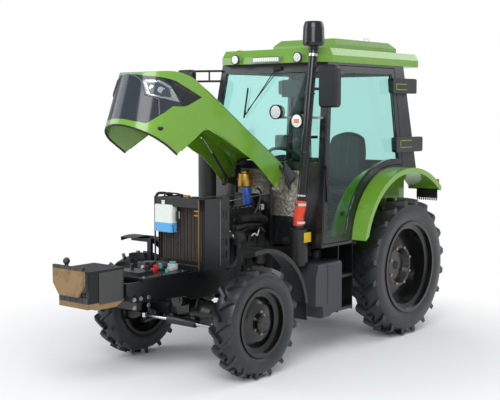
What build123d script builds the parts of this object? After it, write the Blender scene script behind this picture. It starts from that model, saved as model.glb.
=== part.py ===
from build123d import *
from math import cos, radians, sin
import os

# Farm tractor with a cab, four driven wheels and its hood swung open.
#
# Millimetres. +Z is up, the tractor faces -Y and its left side is +X. Every piece is drawn about the
# rear axle's line (y = 0, ground z = 0) and shifted on export, so that the origin lies on the ground
# under the middle of the whole machine.

# ---------------------------------------------------------------- driving dimensions
WHEELBASE = 2114
FRONT_REACH = 3452  # rear axle to the front plate's face
REAR_REACH = 948  # rear axle to the drawbar's tip

# wheels: outer radius at the lugs' tips, section width, bead seat radius, rim half width,
# half track, lug height, lugs on each side, width of a lug's foot
REAR_TYRE = dict(r=645, w=285, bead=406, rim=139, track=676, lug=38, count=20, foot=58, wall=16)
FRONT_TYRE = dict(r=446, w=210, bead=254, rim=97, track=653, lug=28, count=16, foot=46, wall=13)
FLANGE_RISE = 20  # rim flange above the bead seat
RIM_WALL = 8
HUB_FIT = 0.05  # radial running clearance of a hub on its spindle

# front axle and steering
KINGPIN_X = 505
KINGPIN_R = 24
AXLE_BEAM_R = 58
STEER_ARM = 140
STEER_BALL_X = 440
SPINDLE_R = 34
STEER_ROD_R = 15
REAR_SHAFT_R = 40

# hood: hinge line, how far it stands open, and its half widths
HINGE_Y, HINGE_Z = -1300, 1600
HOOD_OPEN = 33
HOOD_WALL = 4
HOOD_FOOT_X, HOOD_SHOULDER_X = 292, 252
HOOD_REAR_FOOT_X, HOOD_REAR_SHOULDER_X = 385, 262  # the hood flares towards the cab
HOOD_CREASE_Z, HOOD_CROWN_Z = 1650, 1752
NOSE_START = -2620  # where the sides start to round
NOSE_TIPS = ((-2871, 900), (-3117, 1800))  # (y, z): the nose leans forward
HINGE_R = 9
ARM_X0, ARM_X1 = 214, 224  # hinge arm under the hood's rear
STRUT_X = -160
STRUT_FOOT, STRUT_EYE = (-1486, 1500), (-1822, 1881)  # (y, z) with the hood open
STRUT_PIN_R, STRUT_ROD_R = 6, 5
LEG_X = (192, 204)  # the hoop's legs, just inboard of those arms
BELL_R = 235  # flywheel housing
SEAT = 0.3  # gap between pieces that are fastened together

# cab: a frustum of four flat sides, given by its outer rectangle at the floor and under the roof
CAB_FLOOR_Z, CAB_TOP_Z = 950, 2520
CAB_FOOT = dict(x=722, front=-1308, rear=392)
CAB_HEAD = dict(x=598, front=-1056, rear=176)
CAB_WALL = 55
FLOOR_PLATE = 30
DOOR_WALL = 35
DOOR_GAP = 7
DOOR_REBATE = 22
DOOR_RIM = 52
GLASS = 5
GLASS_GAP = 0.3
SILL_GAP = 26  # door's lower edge above the fender
DOOR_AXIS = dict(foot=(697, 330, 1700), head=(640, 262, 2420))
HINGE_SHARES = (0.12, 0.88)  # where the two hinges sit along that line
COVER_HALF = 70
DOOR_PIN_R = 9
COVER_GAP = 6  # hinge cover over the corner post

# rear fenders
FENDER_IN, FENDER_OUT, FENDER_WALL = 500, 862, 12
FENDER_FRONT = dict(y=-110, z=819, r=757)
FENDER_TOP_R = 862
FENDER_ANGLES = (167.7, 104.5, 50)  # front tip, where the arcs meet, rear tip

# front end
RAIL_X, RAIL_WALL = 175, 16
TRAY_Z = 840
RADIATOR_Y, RADIATOR_X, RADIATOR_DEEP = -2250, 250, 110
RADIATOR_LOW, RADIATOR_TOP = TRAY_Z - 20, 1405

REAR_AXLE_Y = (FRONT_REACH - REAR_REACH) / 2
parts = {}


# ---------------------------------------------------------------- drawing helpers
def block(x, y, z):
    """Box between three (low, high) spans."""
    size = [hi - lo for lo, hi in (x, y, z)]
    middle = [(lo + hi) / 2 for lo, hi in (x, y, z)]
    return Pos(*middle) * Box(*size)


def rod(a, b, r):
    """Round bar of radius r from point a to point b."""
    a, b = Vector(*a), Vector(*b)
    return Plane(origin=(a + b) / 2, z_dir=b - a) * Cylinder(r, (b - a).length)


def tube(a, b, r, bore):
    """Round bar with a through bore."""
    a, b = Vector(*a), Vector(*b)
    return Plane(origin=(a + b) / 2, z_dir=b - a) * (
        Cylinder(r, (b - a).length) - Cylinder(bore, (b - a).length + 2)
    )


def side_face(*points):
    """Face of straight edges in the side view, drawn in (y, z)."""
    return make_face(Polyline(*points, close=True))


def side_plate(face, x0, x1):
    """A side-view face made solid between two x planes."""
    return extrude(Plane.YZ.offset(x0) * face, x1 - x0)


def front_plate(face, y0, y1):
    """A front-view face, drawn in (x, z), made solid between two y planes."""
    plane = Plane(origin=(0, y1, 0), x_dir=(1, 0, 0), z_dir=(0, -1, 0))
    return extrude(plane * face, y1 - y0)


def bent_tube(points, r, bend):
    """Round bar along straight runs joined by arcs of one radius."""
    line = FilletPolyline(*points, radius=bend)
    start = Plane(origin=line @ 0, z_dir=line % 0)
    return sweep(start * Circle(r), path=line)


def cab_front(z):
    """Where the cab's sloping front face lies at a height."""
    share = (z - CAB_FLOOR_Z) / (CAB_TOP_Z - CAB_FLOOR_Z)
    return CAB_FOOT["front"] + (CAB_HEAD["front"] - CAB_FOOT["front"]) * share


def mirrored(shape):
    return mirror(shape, Plane.YZ)


def both_sides(shape):
    return shape + mirrored(shape)


def keep(name, shape):
    parts[name] = shape


# ---------------------------------------------------------------- wheels
def tyre(t):
    """Carcass with its bead on the rim, and a chevron of lugs on each side."""
    half, tread = t["w"] / 2, t["r"] - t["lug"]
    seat, bead_x = t["bead"] + 0.3, t["rim"] - 12.3
    wall, shoulder = t["wall"], t["w"] / 2 - 12
    mid = (seat + tread) / 2
    outer = [
        Line((bead_x, seat), (bead_x, seat + FLANGE_RISE)),
        ThreePointArc((bead_x, seat + FLANGE_RISE), (half, mid), (shoulder, tread - 26)),
        ThreePointArc((shoulder, tread - 26), (0, tread), (-shoulder, tread - 26)),
        ThreePointArc((-shoulder, tread - 26), (-half, mid), (-bead_x, seat + FLANGE_RISE)),
        Line((-bead_x, seat + FLANGE_RISE), (-bead_x, seat)),
        Line((-bead_x, seat), (-bead_x + wall, seat)),
        ThreePointArc(
            (-bead_x + wall, seat), (-half + wall, mid), (-shoulder + wall, tread - 26 - wall)
        ),
        Line((-shoulder + wall, tread - 26 - wall), (shoulder - wall, tread - 26 - wall)),
        ThreePointArc(
            (shoulder - wall, tread - 26 - wall), (half - wall, mid), (bead_x - wall, seat)
        ),
        Line((bead_x - wall, seat), (bead_x, seat)),
    ]
    ring = revolve(make_face(outer), Axis.X)
    foot, top = t["foot"], t["foot"] * 0.62
    reach = half * 0.9
    lean = reach * 0.85
    # bar from just past the middle to the shoulder, seen from outside, in (axle, rolling) directions
    base, cap = tread - 34, t["r"]
    sections = []
    for height, width in ((base, foot), (cap, top)):
        bar = Polyline(
            (-10, -width / 2), (reach, lean - width / 2), (reach, lean + width / 2),
            (-10, width / 2), close=True,
        )
        sections.append(Plane.XY.offset(height) * make_face(bar))
    lug = loft(sections)
    crown = ThreePointArc((-half, t["r"] - 12), (0, t["r"]), (half, t["r"] - 12))
    envelope = make_face(
        [crown, Line((half, t["r"] - 12), (half, base - 20)), Line((half, base - 20), (-half, base - 20)),
         Line((-half, base - 20), (-half, t["r"] - 12))]
    )
    lug = lug & revolve(envelope, Axis.X)
    pitch = 360 / t["count"]
    bars = []
    for i in range(t["count"]):
        bars.append(Rot(pitch * i, 0, 0) * lug)
        bars.append(Rot(pitch * (i + 0.5), 0, 0) * mirrored(lug))
    return ring.fuse(*bars)


def rim(t, disc):
    """Drop-centre rim with its disc, drawn as one revolved section; disc holds (x, r) points."""
    w, seat = t["rim"], t["bead"]
    well = seat - 42
    barrel = [
        (w, seat + FLANGE_RISE), (w - 12, seat + FLANGE_RISE), (w - 12, seat), (w - 46, seat),
        (w - 62, well), (62 - w, well), (46 - w, seat), (12 - w, seat),
        (12 - w, seat + FLANGE_RISE), (-w, seat + FLANGE_RISE), (-w, seat - RIM_WALL),
        (44 - w, seat - RIM_WALL), (60 - w, well - RIM_WALL), (w - 60, well - RIM_WALL),
        (w - 44, seat - RIM_WALL), (w, seat - RIM_WALL),
    ]
    ring = revolve(make_face(Polyline(*barrel, close=True)), Axis.X)
    plate = revolve(make_face(Polyline(*disc, close=True)), Axis.X)
    return ring + plate


def make_wheels():
    rear_well = REAR_TYRE["bead"] - 42 - RIM_WALL / 2
    rear_disc = [
        (-36, rear_well), (-22, rear_well), (20, 190), (20, 165), (-30, 130), (-30, REAR_SHAFT_R + HUB_FIT),
        (-72, REAR_SHAFT_R + HUB_FIT), (-72, 100), (-42, 100), (-42, 135), (6, 172), (6, 188),
    ]
    front_well = FRONT_TYRE["bead"] - 42 - RIM_WALL / 2
    front_disc = [
        (8, front_well), (20, front_well), (50, 150), (62, 95), (62, 80), (96, 76), (112, 60), (114, 0),
        (70, 0), (70, SPINDLE_R + HUB_FIT), (-48, SPINDLE_R + HUB_FIT), (-48, 84), (44, 90), (38, 148),
    ]
    for end, t, disc, y in (
        ("rear", REAR_TYRE, rear_disc, 0), ("front", FRONT_TYRE, front_disc, -WHEELBASE)
    ):
        rubber, steel = tyre(t), rim(t, disc)
        place = Pos(t["track"], y, t["r"])
        keep(f"{end}_tyre_left", place * rubber)
        keep(f"{end}_rim_left", place * steel)
        keep(f"{end}_tyre_right", mirrored(place * rubber))
        keep(f"{end}_rim_right", mirrored(place * steel))


# ---------------------------------------------------------------- front axle, knuckles, steering
AXLE_Z = FRONT_TYRE["r"]
PIVOT_Z = AXLE_Z + 128
BALL_Y = -WHEELBASE - STEER_ARM
BOSS_HALF = 90  # half height of the beam's end boss
EAR_GAP, EAR = 4, 34
TIE_Z = AXLE_Z - 62
TRUNNION_R = 33
TIE_EYE = 18  # half height of the tie rod's eye


def make_front_axle():
    y = -WHEELBASE
    half = [(0, 82), (70, 120), (160, 100), (230, AXLE_BEAM_R + 8), (KINGPIN_X - 30, AXLE_BEAM_R - 14)]
    section = Polyline((0, 0), *half, (KINGPIN_X - 30, 0), close=True)
    beam = both_sides(revolve(make_face(section), Axis.X))
    beam += rod((0, 60, 0), (0, 205, 0), 66) + rod((0, 200, 0), (0, 235, 0), 40)
    beam = Pos(0, y, AXLE_Z) * beam
    # cradle over the housing, with the trunnions on which the whole axle rocks
    beam += block((-70, 70), (y - 130, y + 130), (AXLE_Z + 20, PIVOT_Z + TRUNNION_R + 1))
    beam += rod((0, y - 205, PIVOT_Z), (0, y + 205, PIVOT_Z), TRUNNION_R)
    # upright boss at each end, with the kingpin standing out above and below
    ear_end = BOSS_HALF + EAR_GAP + EAR - 2
    beam += both_sides(
        rod((KINGPIN_X, y, AXLE_Z - BOSS_HALF), (KINGPIN_X, y, AXLE_Z + BOSS_HALF), 44)
        + rod((KINGPIN_X, y, AXLE_Z - ear_end), (KINGPIN_X, y, AXLE_Z + ear_end), KINGPIN_R)
    )
    # barrel of the double-rod steering cylinder, on two feet ahead of the beam
    barrel = tube((-150, BALL_Y, TIE_Z), (150, BALL_Y, TIE_Z), 34, STEER_ROD_R + HUB_FIT)
    feet = both_sides(block((100, 140), (BALL_Y, y - 60), (TIE_Z - 10, TIE_Z + 50)))
    feet -= rod((-200, BALL_Y, TIE_Z), (200, BALL_Y, TIE_Z), 30)
    keep("front_axle", beam + barrel + feet)

    # rod through the barrel; its eyes lie over the balls of the steering arms
    slide = rod((20 - STEER_BALL_X, BALL_Y, TIE_Z), (STEER_BALL_X - 20, BALL_Y, TIE_Z), STEER_ROD_R)
    eye = Pos(STEER_BALL_X, BALL_Y, TIE_Z) * Cylinder(26, 2 * TIE_EYE)
    keep("steering_rod", slide + both_sides(eye))


def make_knuckles():
    """Fork round the axle's end boss, with the wheel's spindle and the steering arm."""
    y = -WHEELBASE
    low, high = AXLE_Z - BOSS_HALF - EAR_GAP, AXLE_Z + BOSS_HALF + EAR_GAP
    body = rod((KINGPIN_X, y, low - EAR), (KINGPIN_X, y, low), 50)
    body += rod((KINGPIN_X, y, high), (KINGPIN_X, y, high + EAR), 50)
    body += block((KINGPIN_X, KINGPIN_X + 76), (y - 48, y + 48), (low - EAR, low))
    body += block((KINGPIN_X, KINGPIN_X + 76), (y - 48, y + 48), (high, high + EAR))
    body += block((KINGPIN_X + 50, KINGPIN_X + 76), (y - 48, y + 48), (low - EAR, high + EAR))
    body += rod((KINGPIN_X + 50, y, AXLE_Z), (FRONT_TYRE["track"] - 56, y, AXLE_Z), 88)
    body += rod((KINGPIN_X + 50, y, AXLE_Z), (FRONT_TYRE["track"] + 66, y, AXLE_Z), SPINDLE_R)
    # steering arm under the fork, its ball stud standing just below the rod's eye
    arm = Polyline(
        (KINGPIN_X - 40, y), (KINGPIN_X + 44, y), (STEER_BALL_X + 26, BALL_Y - 20),
        (STEER_BALL_X - 26, BALL_Y - 20), close=True,
    )
    body += extrude(Plane.XY.offset(low - EAR) * make_face(arm), 24)
    body += rod((STEER_BALL_X, BALL_Y, low - EAR), (STEER_BALL_X, BALL_Y, TIE_Z - TIE_EYE - 1), 12)
    body -= rod((KINGPIN_X, y, low - EAR - 5), (KINGPIN_X, y, high + EAR - 2), KINGPIN_R + HUB_FIT)
    keep("knuckle_left", body)
    keep("knuckle_right", mirrored(body))


FRONT_FENDER_R = 585
FRONT_FENDER = dict(x0=572, x1=752, wall=5)


def make_front_fenders():
    """Moulded guard on a bent post that turns with the knuckle."""
    y, r, f = -WHEELBASE, FRONT_FENDER_R, FRONT_FENDER
    start, end = 101, 8

    def at(angle, radius):
        return (y + -radius * cos(radians(angle)), AXLE_Z + radius * sin(radians(angle)))

    def at_rear(angle, radius):
        return (y + radius * cos(radians(angle)), AXLE_Z + radius * sin(radians(angle)))

    mid = (start + end) / 2
    crown = make_face([
        ThreePointArc(at_rear(start, r), at_rear(mid, r), at_rear(end, r)),
        Line(at_rear(end, r), at_rear(end, r - f["wall"])),
        ThreePointArc(at_rear(end, r - f["wall"]), at_rear(mid, r - f["wall"]), at_rear(start, r - f["wall"])),
        Line(at_rear(start, r - f["wall"]), at_rear(start, r)),
    ])
    skirt = make_face([
        ThreePointArc(at_rear(start, r), at_rear(mid, r), at_rear(end, r)),
        Line(at_rear(end, r), at_rear(end, r - 34)),
        ThreePointArc(at_rear(end, r - 34), at_rear(mid, r - 34), at_rear(start, r - 34)),
        Line(at_rear(start, r - 34), at_rear(start, r)),
    ])
    guard = side_plate(crown, f["x0"], f["x1"]) + side_plate(skirt, f["x1"] - f["wall"], f["x1"])
    tip_y, tip_z = at_rear(end, r)
    guard += block((f["x0"] + 12, f["x1"] - 12), (tip_y - f["wall"], tip_y), (tip_z - 150, tip_z + 4))
    # post on the fork's upper ear, with an arm out under the guard
    under = AXLE_Z + r - f["wall"] - 14
    foot = AXLE_Z + BOSS_HALF + EAR_GAP + EAR
    post = block((KINGPIN_X - 22, KINGPIN_X + 22), (y - 14, y + 14), (foot, under))
    post += block((KINGPIN_X - 40, KINGPIN_X + 40), (y - 30, y + 30), (foot, foot + 8))
    post += block((KINGPIN_X - 22, f["x1"] - 30), (y - 14, y + 14), (under - 30, under))
    post += block((f["x0"] + 20, f["x1"] - 20), (y - 40, y + 40), (under, AXLE_Z + r - f["wall"] + 1)) & (
        side_plate(make_face([
            ThreePointArc(at_rear(150, r - 1), at_rear(90, r - 1), at_rear(30, r - 1)),
            Line(at_rear(30, r - 1), at_rear(150, r - 1)),
        ]), 0, 900)
    )
    keep("front_fender_left", guard + post)
    keep("front_fender_right", mirrored(guard + post))


# ---------------------------------------------------------------- front frame and what it carries
FRAME_FRONT, FRAME_REAR = -3050, -1720
RAIL_TOP, RAIL_LOW = TRAY_Z - 20, 640


def make_front_frame():
    rail = side_face(
        (FRAME_FRONT, RAIL_TOP), (FRAME_REAR, RAIL_TOP), (FRAME_REAR, 600), (-2330, 600),
        (-2420, RAIL_LOW), (-2950, RAIL_LOW + 20), (FRAME_FRONT, RAIL_LOW + 50),
    )
    frame = both_sides(side_plate(rail, RAIL_X, RAIL_X + RAIL_WALL))
    for y0, y1, z0, z1 in (
        (-3050, -3030, RAIL_LOW + 60, RAIL_TOP), (-2480, -2460, 660, RAIL_TOP),
    ):
        frame += block((-RAIL_X, RAIL_X), (y0, y1), (z0, z1))
    # saddles that hold the axle's trunnions
    for y0 in (-WHEELBASE - 200, -WHEELBASE + 150):
        saddle = block((-RAIL_X, RAIL_X), (y0, y0 + 50), (PIVOT_Z + 30, 690))
        saddle += rod((0, y0, PIVOT_Z), (0, y0 + 50, PIVOT_Z), 62)
        saddle -= rod((0, y0 - 5, PIVOT_Z), (0, y0 + 55, PIVOT_Z), 33 + HUB_FIT)
        frame += saddle
    # cross tube under the rails ahead of the axle
    frame += block((-230, 230), (-2985, -2935), (RAIL_LOW - 28, RAIL_LOW + 30))
    keep("front_frame", frame)


def make_front_ballast():
    """Plate weights side by side on a carrier, the chamfered plate and the hitch pin ahead."""
    pitch, thick, count = 42, 34, 8
    outline = side_face(
        (-3395, 690), (-3395, 948), (FRAME_FRONT - SEAT, 948), (FRAME_FRONT - SEAT, 700), (-3130, 660), (-3330, 660)
    )
    hole = side_face((-3300, 770), (-3300, 880), (-3140, 880), (-3140, 740))
    stack = []
    for i in range(count):
        x = (i - (count - 1) / 2) * pitch
        stack.append(side_plate(outline - hole, x - thick / 2, x + thick / 2))
    reach = (count - 1) / 2 * pitch
    carrier = block((-reach, reach), (-3345, -3305), (700, 745)) + block(
        (-reach, reach), (-3110, -3070), (760, 880)
    )
    ballast = carrier.fuse(*stack)
    face = make_face(Polyline(
        (-100, 765), (100, 765), (166, 852), (166, 985), (-166, 985), (-166, 852), close=True
    ))
    ballast += front_plate(face, -FRONT_REACH, -FRONT_REACH + 22)
    ballast += block((-150, 150), (-FRONT_REACH + 22, -3390), (800, 940))
    ballast += block((-160, 160), (-3400, -3330), (672, 756))
    pin_y = -FRONT_REACH + 44
    ballast += rod((-60, pin_y, 930), (-60, pin_y, 1000), 15)
    ballast += Pos(-60, pin_y, 1012) * Sphere(26)
    keep("front_ballast", ballast)


def make_battery_tray():
    tray = block((-205, 205), (-2890, -2400), (TRAY_Z - 20, TRAY_Z))
    tray += block((-150, 90), (-2840, -2660), (TRAY_Z, TRAY_Z + 6))
    battery = block((-150, 90), (-2830, -2670), (TRAY_Z + 6, TRAY_Z + 26))
    tray += battery
    for x in (-110, 50):
        tray += rod((x, -2700, TRAY_Z + 20), (x, -2700, TRAY_Z + 62), 14)
    tray += rod((-60, -2560, TRAY_Z), (-60, -2560, TRAY_Z + 70), 48)
    keep("battery_tray", tray)


# ---------------------------------------------------------------- engine
ENGINE_X, ENGINE_FRONT, ENGINE_REAR = 160, -1880, -1376
PAN_LOW, BLOCK_LOW, HEAD_LOW, HEAD_TOP = 522, 640, 1060, 1180
CRANK_Z = 790


def make_engine():
    """Three-cylinder diesel: sump, crankcase, head, rocker cover, timing case and flywheel housing."""
    sump = Pos(0, (ENGINE_FRONT + ENGINE_REAR) / 2, (PAN_LOW + BLOCK_LOW) / 2) * Box(
        260, ENGINE_REAR - ENGINE_FRONT - 60, BLOCK_LOW - PAN_LOW
    )
    sump = chamfer(sump.edges().filter_by(Axis.Y).group_by(Axis.Z)[0], 50)
    block_body = block((-ENGINE_X, ENGINE_X), (ENGINE_FRONT, ENGINE_REAR), (BLOCK_LOW, HEAD_LOW))
    for i in range(3):
        y = ENGINE_FRONT + 110 + i * 150
        block_body += block((ENGINE_X, ENGINE_X + 12), (y - 8, y + 8), (BLOCK_LOW + 20, HEAD_LOW - 20))
        block_body += block((-ENGINE_X - 12, -ENGINE_X), (y - 8, y + 8), (BLOCK_LOW + 20, HEAD_LOW - 20))
    head = block((-130, 130), (ENGINE_FRONT + 20, ENGINE_REAR - 20), (HEAD_LOW, HEAD_TOP))
    cover = block((-80, 80), (ENGINE_FRONT + 40, ENGINE_REAR - 40), (HEAD_TOP, HEAD_TOP + 90))
    cover = fillet(cover.edges().filter_by(Axis.Z), 25)
    cover = fillet(cover.faces().sort_by(Axis.Z)[-1].edges(), 18)
    case = block((-140, 140), (ENGINE_FRONT - 50, ENGINE_FRONT), (CRANK_Z - 90, HEAD_LOW - 30))
    bell = rod((0, ENGINE_REAR, CRANK_Z), (0, ENGINE_REAR + 60, CRANK_Z), BELL_R)
    pulley = rod((0, ENGINE_FRONT - 85, CRANK_Z), (0, ENGINE_FRONT - 50, CRANK_Z), 80)
    pump = rod((0, ENGINE_FRONT - 100, FAN_Z), (0, ENGINE_FRONT - 30, FAN_Z), 45)
    pads = both_sides(block((ENGINE_X, RAIL_X), (FRAME_REAR - 120, FRAME_REAR - 20), (BLOCK_LOW + 20, RAIL_TOP - 20)))
    whole = sump + block_body + head + cover + case + bell + pulley + pump + pads
    keep("engine", whole)


def make_engine_fittings():
    """Manifolds, injection pump, alternator, starter, filters and hoses along the engine's sides."""
    y0, y1 = ENGINE_FRONT + 60, ENGINE_REAR - 60
    bits = rod((158, y0, 1120), (158, y1, 1120), 30)
    for i in range(3):
        y = ENGINE_FRONT + 110 + i * 150
        bits += rod((128, y, 1120), (158, y, 1120), 22)
    bits += rod((158, y1 - 20, 1120), (158, y1 - 20, 1230), 28)
    bits += block((160, 215), (-1760, -1560), (860, 1000))
    for i in range(3):
        bits += rod((188, -1730 + i * 55, 1000), (188, -1730 + i * 55, 1050), 12)
    bits += rod((212, -1500, 930), (212, -1500, 800), 46) + block((158, 190), (-1520, -1480), (900, 960))
    bits += rod((205, -1860, 1050), (205, -1760, 1050), 60) + block((158, 190), (-1830, -1790), (1000, 1060))
    bits += rod((-158, y0, 1120), (-158, y1, 1120), 34)
    for i in range(3):
        y = ENGINE_FRONT + 110 + i * 150
        bits += rod((-158, y, 1120), (-128, y, 1120), 24)
    bits += rod((-205, -1560, 760), (-205, -1360, 760), 52) + block((-190, -158), (-1480, -1440), (720, 800))
    keep("engine_fittings", bits - parts["engine"])


FAN_Z = 1050


def make_radiator():
    y0, y1 = RADIATOR_Y, RADIATOR_Y + RADIATOR_DEEP
    core = block((-RADIATOR_X + 12, RADIATOR_X - 12), (y0 + 15, y1 - 15), (RADIATOR_LOW + 70, RADIATOR_TOP - 90))
    # fins stand proud of the tubes in upright rows
    pitch = 20
    count = int((2 * RADIATOR_X - 60) / pitch)
    fins = [
        block((x - 3, x + 3), (y0 + 6, y0 + 15), (RADIATOR_LOW + 70, RADIATOR_TOP - 90))
        for x in ((i - (count - 1) / 2) * pitch for i in range(count))
    ]
    core = core.fuse(*fins)
    tank_low = block((-RADIATOR_X, RADIATOR_X), (y0, y1), (RADIATOR_LOW, RADIATOR_LOW + 70))
    tank_top = block((-RADIATOR_X, RADIATOR_X), (y0, y1), (RADIATOR_TOP - 90, RADIATOR_TOP - 10))
    tank_top = fillet(tank_top.edges().filter_by(Axis.Y).group_by(Axis.Z)[-1], 30)
    ends = block((-RADIATOR_X, 12 - RADIATOR_X), (y0, y1), (RADIATOR_LOW + 70, RADIATOR_TOP - 90))
    cap = rod((-20, y0 + 55, RADIATOR_TOP - 10), (-20, y0 + 55, RADIATOR_TOP + 12), 30)
    keep("radiator", core + tank_low + tank_top + both_sides(ends) + cap)


SHROUD_X, SHROUD_REAR = 262, -1960


def make_radiator_shroud():
    """Side plates with upright slots, the fan ring behind the core, and the fan."""
    y0 = RADIATOR_Y - 6
    plate = side_face((y0, RADIATOR_LOW), (SHROUD_REAR, RADIATOR_LOW), (SHROUD_REAR, RADIATOR_TOP - 6), (y0, RADIATOR_TOP - 6))
    for row_z in (905, 1005, 1235):
        for i in range(3):
            y = -2075 + i * 34
            plate -= side_face((y, row_z), (y + 12, row_z), (y + 12, row_z + 62), (y, row_z + 62))
    sides = both_sides(side_plate(plate, SHROUD_X - 4, SHROUD_X))
    bulk = block((-SHROUD_X, SHROUD_X), (RADIATOR_Y + RADIATOR_DEEP, RADIATOR_Y + RADIATOR_DEEP + 6),
                 (RADIATOR_LOW, RADIATOR_TOP - 6))
    fan_y, fan_z = RADIATOR_Y + RADIATOR_DEEP + 60, FAN_Z
    ring = tube((0, RADIATOR_Y + RADIATOR_DEEP + 3, fan_z), (0, fan_y + 30, fan_z), 222, 216)
    bulk -= rod((0, -3000, fan_z), (0, 0, fan_z), 216)
    blades = []
    for i in range(7):
        blade = Pos(0, 0, 120) * Rot(0, 0, 38) * Box(4, 60, 165)
        blades.append(Rot(0, 360 / 7 * i, 0) * blade)
    fan = (Rot(90, 0, 0) * Cylinder(52, 46)).fuse(*blades)
    fan = Pos(0, fan_y, fan_z) * fan
    shaft = rod((0, fan_y, FAN_Z), (0, ENGINE_FRONT - 100, FAN_Z), 22)
    keep("radiator_shroud", sides + bulk + ring)
    keep("fan", fan + shaft)


def make_coolant_bottle():
    y1 = RADIATOR_Y - SEAT
    body = block((-240, -40), (y1 - 80, y1), (1120, 1345))
    body = fillet(body.edges().filter_by(Axis.Z), 22)
    body = fillet(body.faces().sort_by(Axis.Z)[-1].edges(), 14)
    neck = rod((-150, y1 - 42, 1340), (-150, y1 - 42, 1378), 26)
    ear = block((-60, -22), (y1 - 14, y1), (1230, 1290))
    keep("coolant_bottle", body + neck + ear)


# ---------------------------------------------------------------- air, exhaust, driveline
CLEANER_X, CLEANER_Y, CLEANER_R = 545, -1394, 80
STACK_R = 37
STACK_FOOT, STACK_HEAD = (560, -1378, 1345), (560, -1216, 2620)


def make_air_intake():
    cleaner = rod((CLEANER_X, CLEANER_Y, 830), (CLEANER_X, CLEANER_Y, 1110), CLEANER_R)
    cleaner += rod((CLEANER_X, CLEANER_Y, 1110), (CLEANER_X, CLEANER_Y, 1140), 46)
    cleaner += rod((CLEANER_X, CLEANER_Y, 800), (CLEANER_X, CLEANER_Y, 830), 62)
    outlet = rod((CLEANER_X - 60, CLEANER_Y, 1000), (CLEANER_X - 150, CLEANER_Y, 1000), 34)
    for z in (905, 1060):
        cleaner += block((CLEANER_X - 30, CLEANER_X + 30), (CLEANER_Y + 60, cab_front(z - 14)), (z - 14, z + 14))
    keep("air_cleaner", cleaner + outlet)

    foot, way = Vector(*STACK_FOOT), (Vector(*STACK_HEAD) - Vector(*STACK_FOOT)).normalized()
    path = [
        (CLEANER_X, CLEANER_Y, 1140), (CLEANER_X, CLEANER_Y, 1215), tuple(foot - way * 50), STACK_FOOT
    ]
    keep("intake_elbow", bent_tube(path, 46, 60))

    pipe = rod(STACK_FOOT, STACK_HEAD, STACK_R)
    x, y, z = STACK_HEAD
    head = revolve(
        Plane.XZ * make_face(Polyline(
            (0, 0), (44, 0), (44, 30), (88, 38), (94, 60), (88, 190), (80, 222), (70, 238), (0, 238),
            close=True,
        )),
        Axis.Z,
    )
    stack = pipe + Pos(x, y, z - 6) * head
    for share in (0.08, 0.42, 0.74):
        a, b = Vector(*STACK_FOOT), Vector(*STACK_HEAD)
        p = a + (b - a) * share
        stack += Plane(origin=p, z_dir=b - a) * Cylinder(STACK_R + 4, 26)
    # stays to the cab's corner post
    for share in (0.42, 0.74):
        a, b = Vector(*STACK_FOOT), Vector(*STACK_HEAD)
        p = a + (b - a) * share
        stack += block((p.X - 10, p.X + 10), (p.Y, cab_front(p.Z - 12)), (p.Z - 12, p.Z + 12))
    keep("intake_stack", stack)


MUFFLER = dict(x=-450, y=-1440, r=80, low=1130, top=1880)


def make_muffler():
    """Upright silencer at the cab's right corner, its pipe from the manifold and its tail pipe."""
    m = MUFFLER
    x, y = m["x"], m["y"]
    can = revolve(Plane.XZ * make_face(Polyline(
        (0, m["low"]), (30, m["low"]), (m["r"], m["low"] + 40), (m["r"], m["top"] - 40), (32, m["top"]),
        (32, m["top"] + 150), (0, m["top"] + 150), close=True,
    )), Axis.Z)
    can = Pos(x, y, 0) * can
    can += bent_tube([(-194, -1560, 1120), (-300, -1560, 1080), (x, y, 1050), (x, y, m["low"] + 10)], 28, 36)
    for z in (1300, 1700):
        can += block((x - 14, x + 14), (y + m["r"] - 10, cab_front(z - 14)), (z - 14, z + 14))
    keep("muffler", can - parts["engine_fittings"])


REAR_AXLE_Z = REAR_TYRE["r"]
DROP_BOX_Y, DROP_BOX_Z = -990, 500
HUB_FACE = REAR_TYRE["track"] - 72


def make_transmission():
    """Clutch housing, gearbox, centre housing with its top cover, and the axle trumpets."""
    clutch = loft([
        Plane.XZ.offset(-(ENGINE_REAR + 60)) * Pos(0, CRANK_Z - 20) * Rectangle(400, 300),
        Plane.XZ.offset(1000) * Pos(0, 720) * Rectangle(330, 340),
    ])
    gearbox = block((-165, 165), (-1000, -330), (540, 880))
    centre = block((-150, 150), (-330, 300), (450, 860))
    for i in range(4):
        y = -900 + i * 150
        gearbox += block((-175, 175), (y - 9, y + 9), (545, 875))
    trumpet = revolve(make_face(Polyline(
        (140, 0), (140, 165), (240, 120), (420, 92), (HUB_FACE - 60, 96), (HUB_FACE - 56, 128),
        (HUB_FACE - 8, 128), (HUB_FACE - 8, REAR_SHAFT_R), (REAR_TYRE["track"] - 26, REAR_SHAFT_R),
        (REAR_TYRE["track"] - 26, 0), close=True,
    )), Axis.X)
    trumpet = Pos(0, 0, REAR_AXLE_Z) * trumpet
    lift_cover = block((-150, 150), (-240, 300), (860, 935))
    lift_cover += both_sides(block((100, 150), (290, LIFT["y"] + 40), (LIFT["z"] - 42, LIFT["z"] + 42)))
    drop_box = block((-60, 60), (DROP_BOX_Y, DROP_BOX_Y + 90), (DROP_BOX_Z - 45, 545))
    keep("transmission", clutch + gearbox + centre + both_sides(trumpet) + lift_cover + drop_box)

    # driven shaft to the front axle under its guard, off the centre line
    shaft = rod((0, -WHEELBASE + 235.3, AXLE_Z), (0, DROP_BOX_Y - 0.3, DROP_BOX_Z), 30)
    keep("front_drive_shaft", shaft & block((-40, 40), (-WHEELBASE + 235.3, DROP_BOX_Y - 0.3), (400, 560)))


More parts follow.
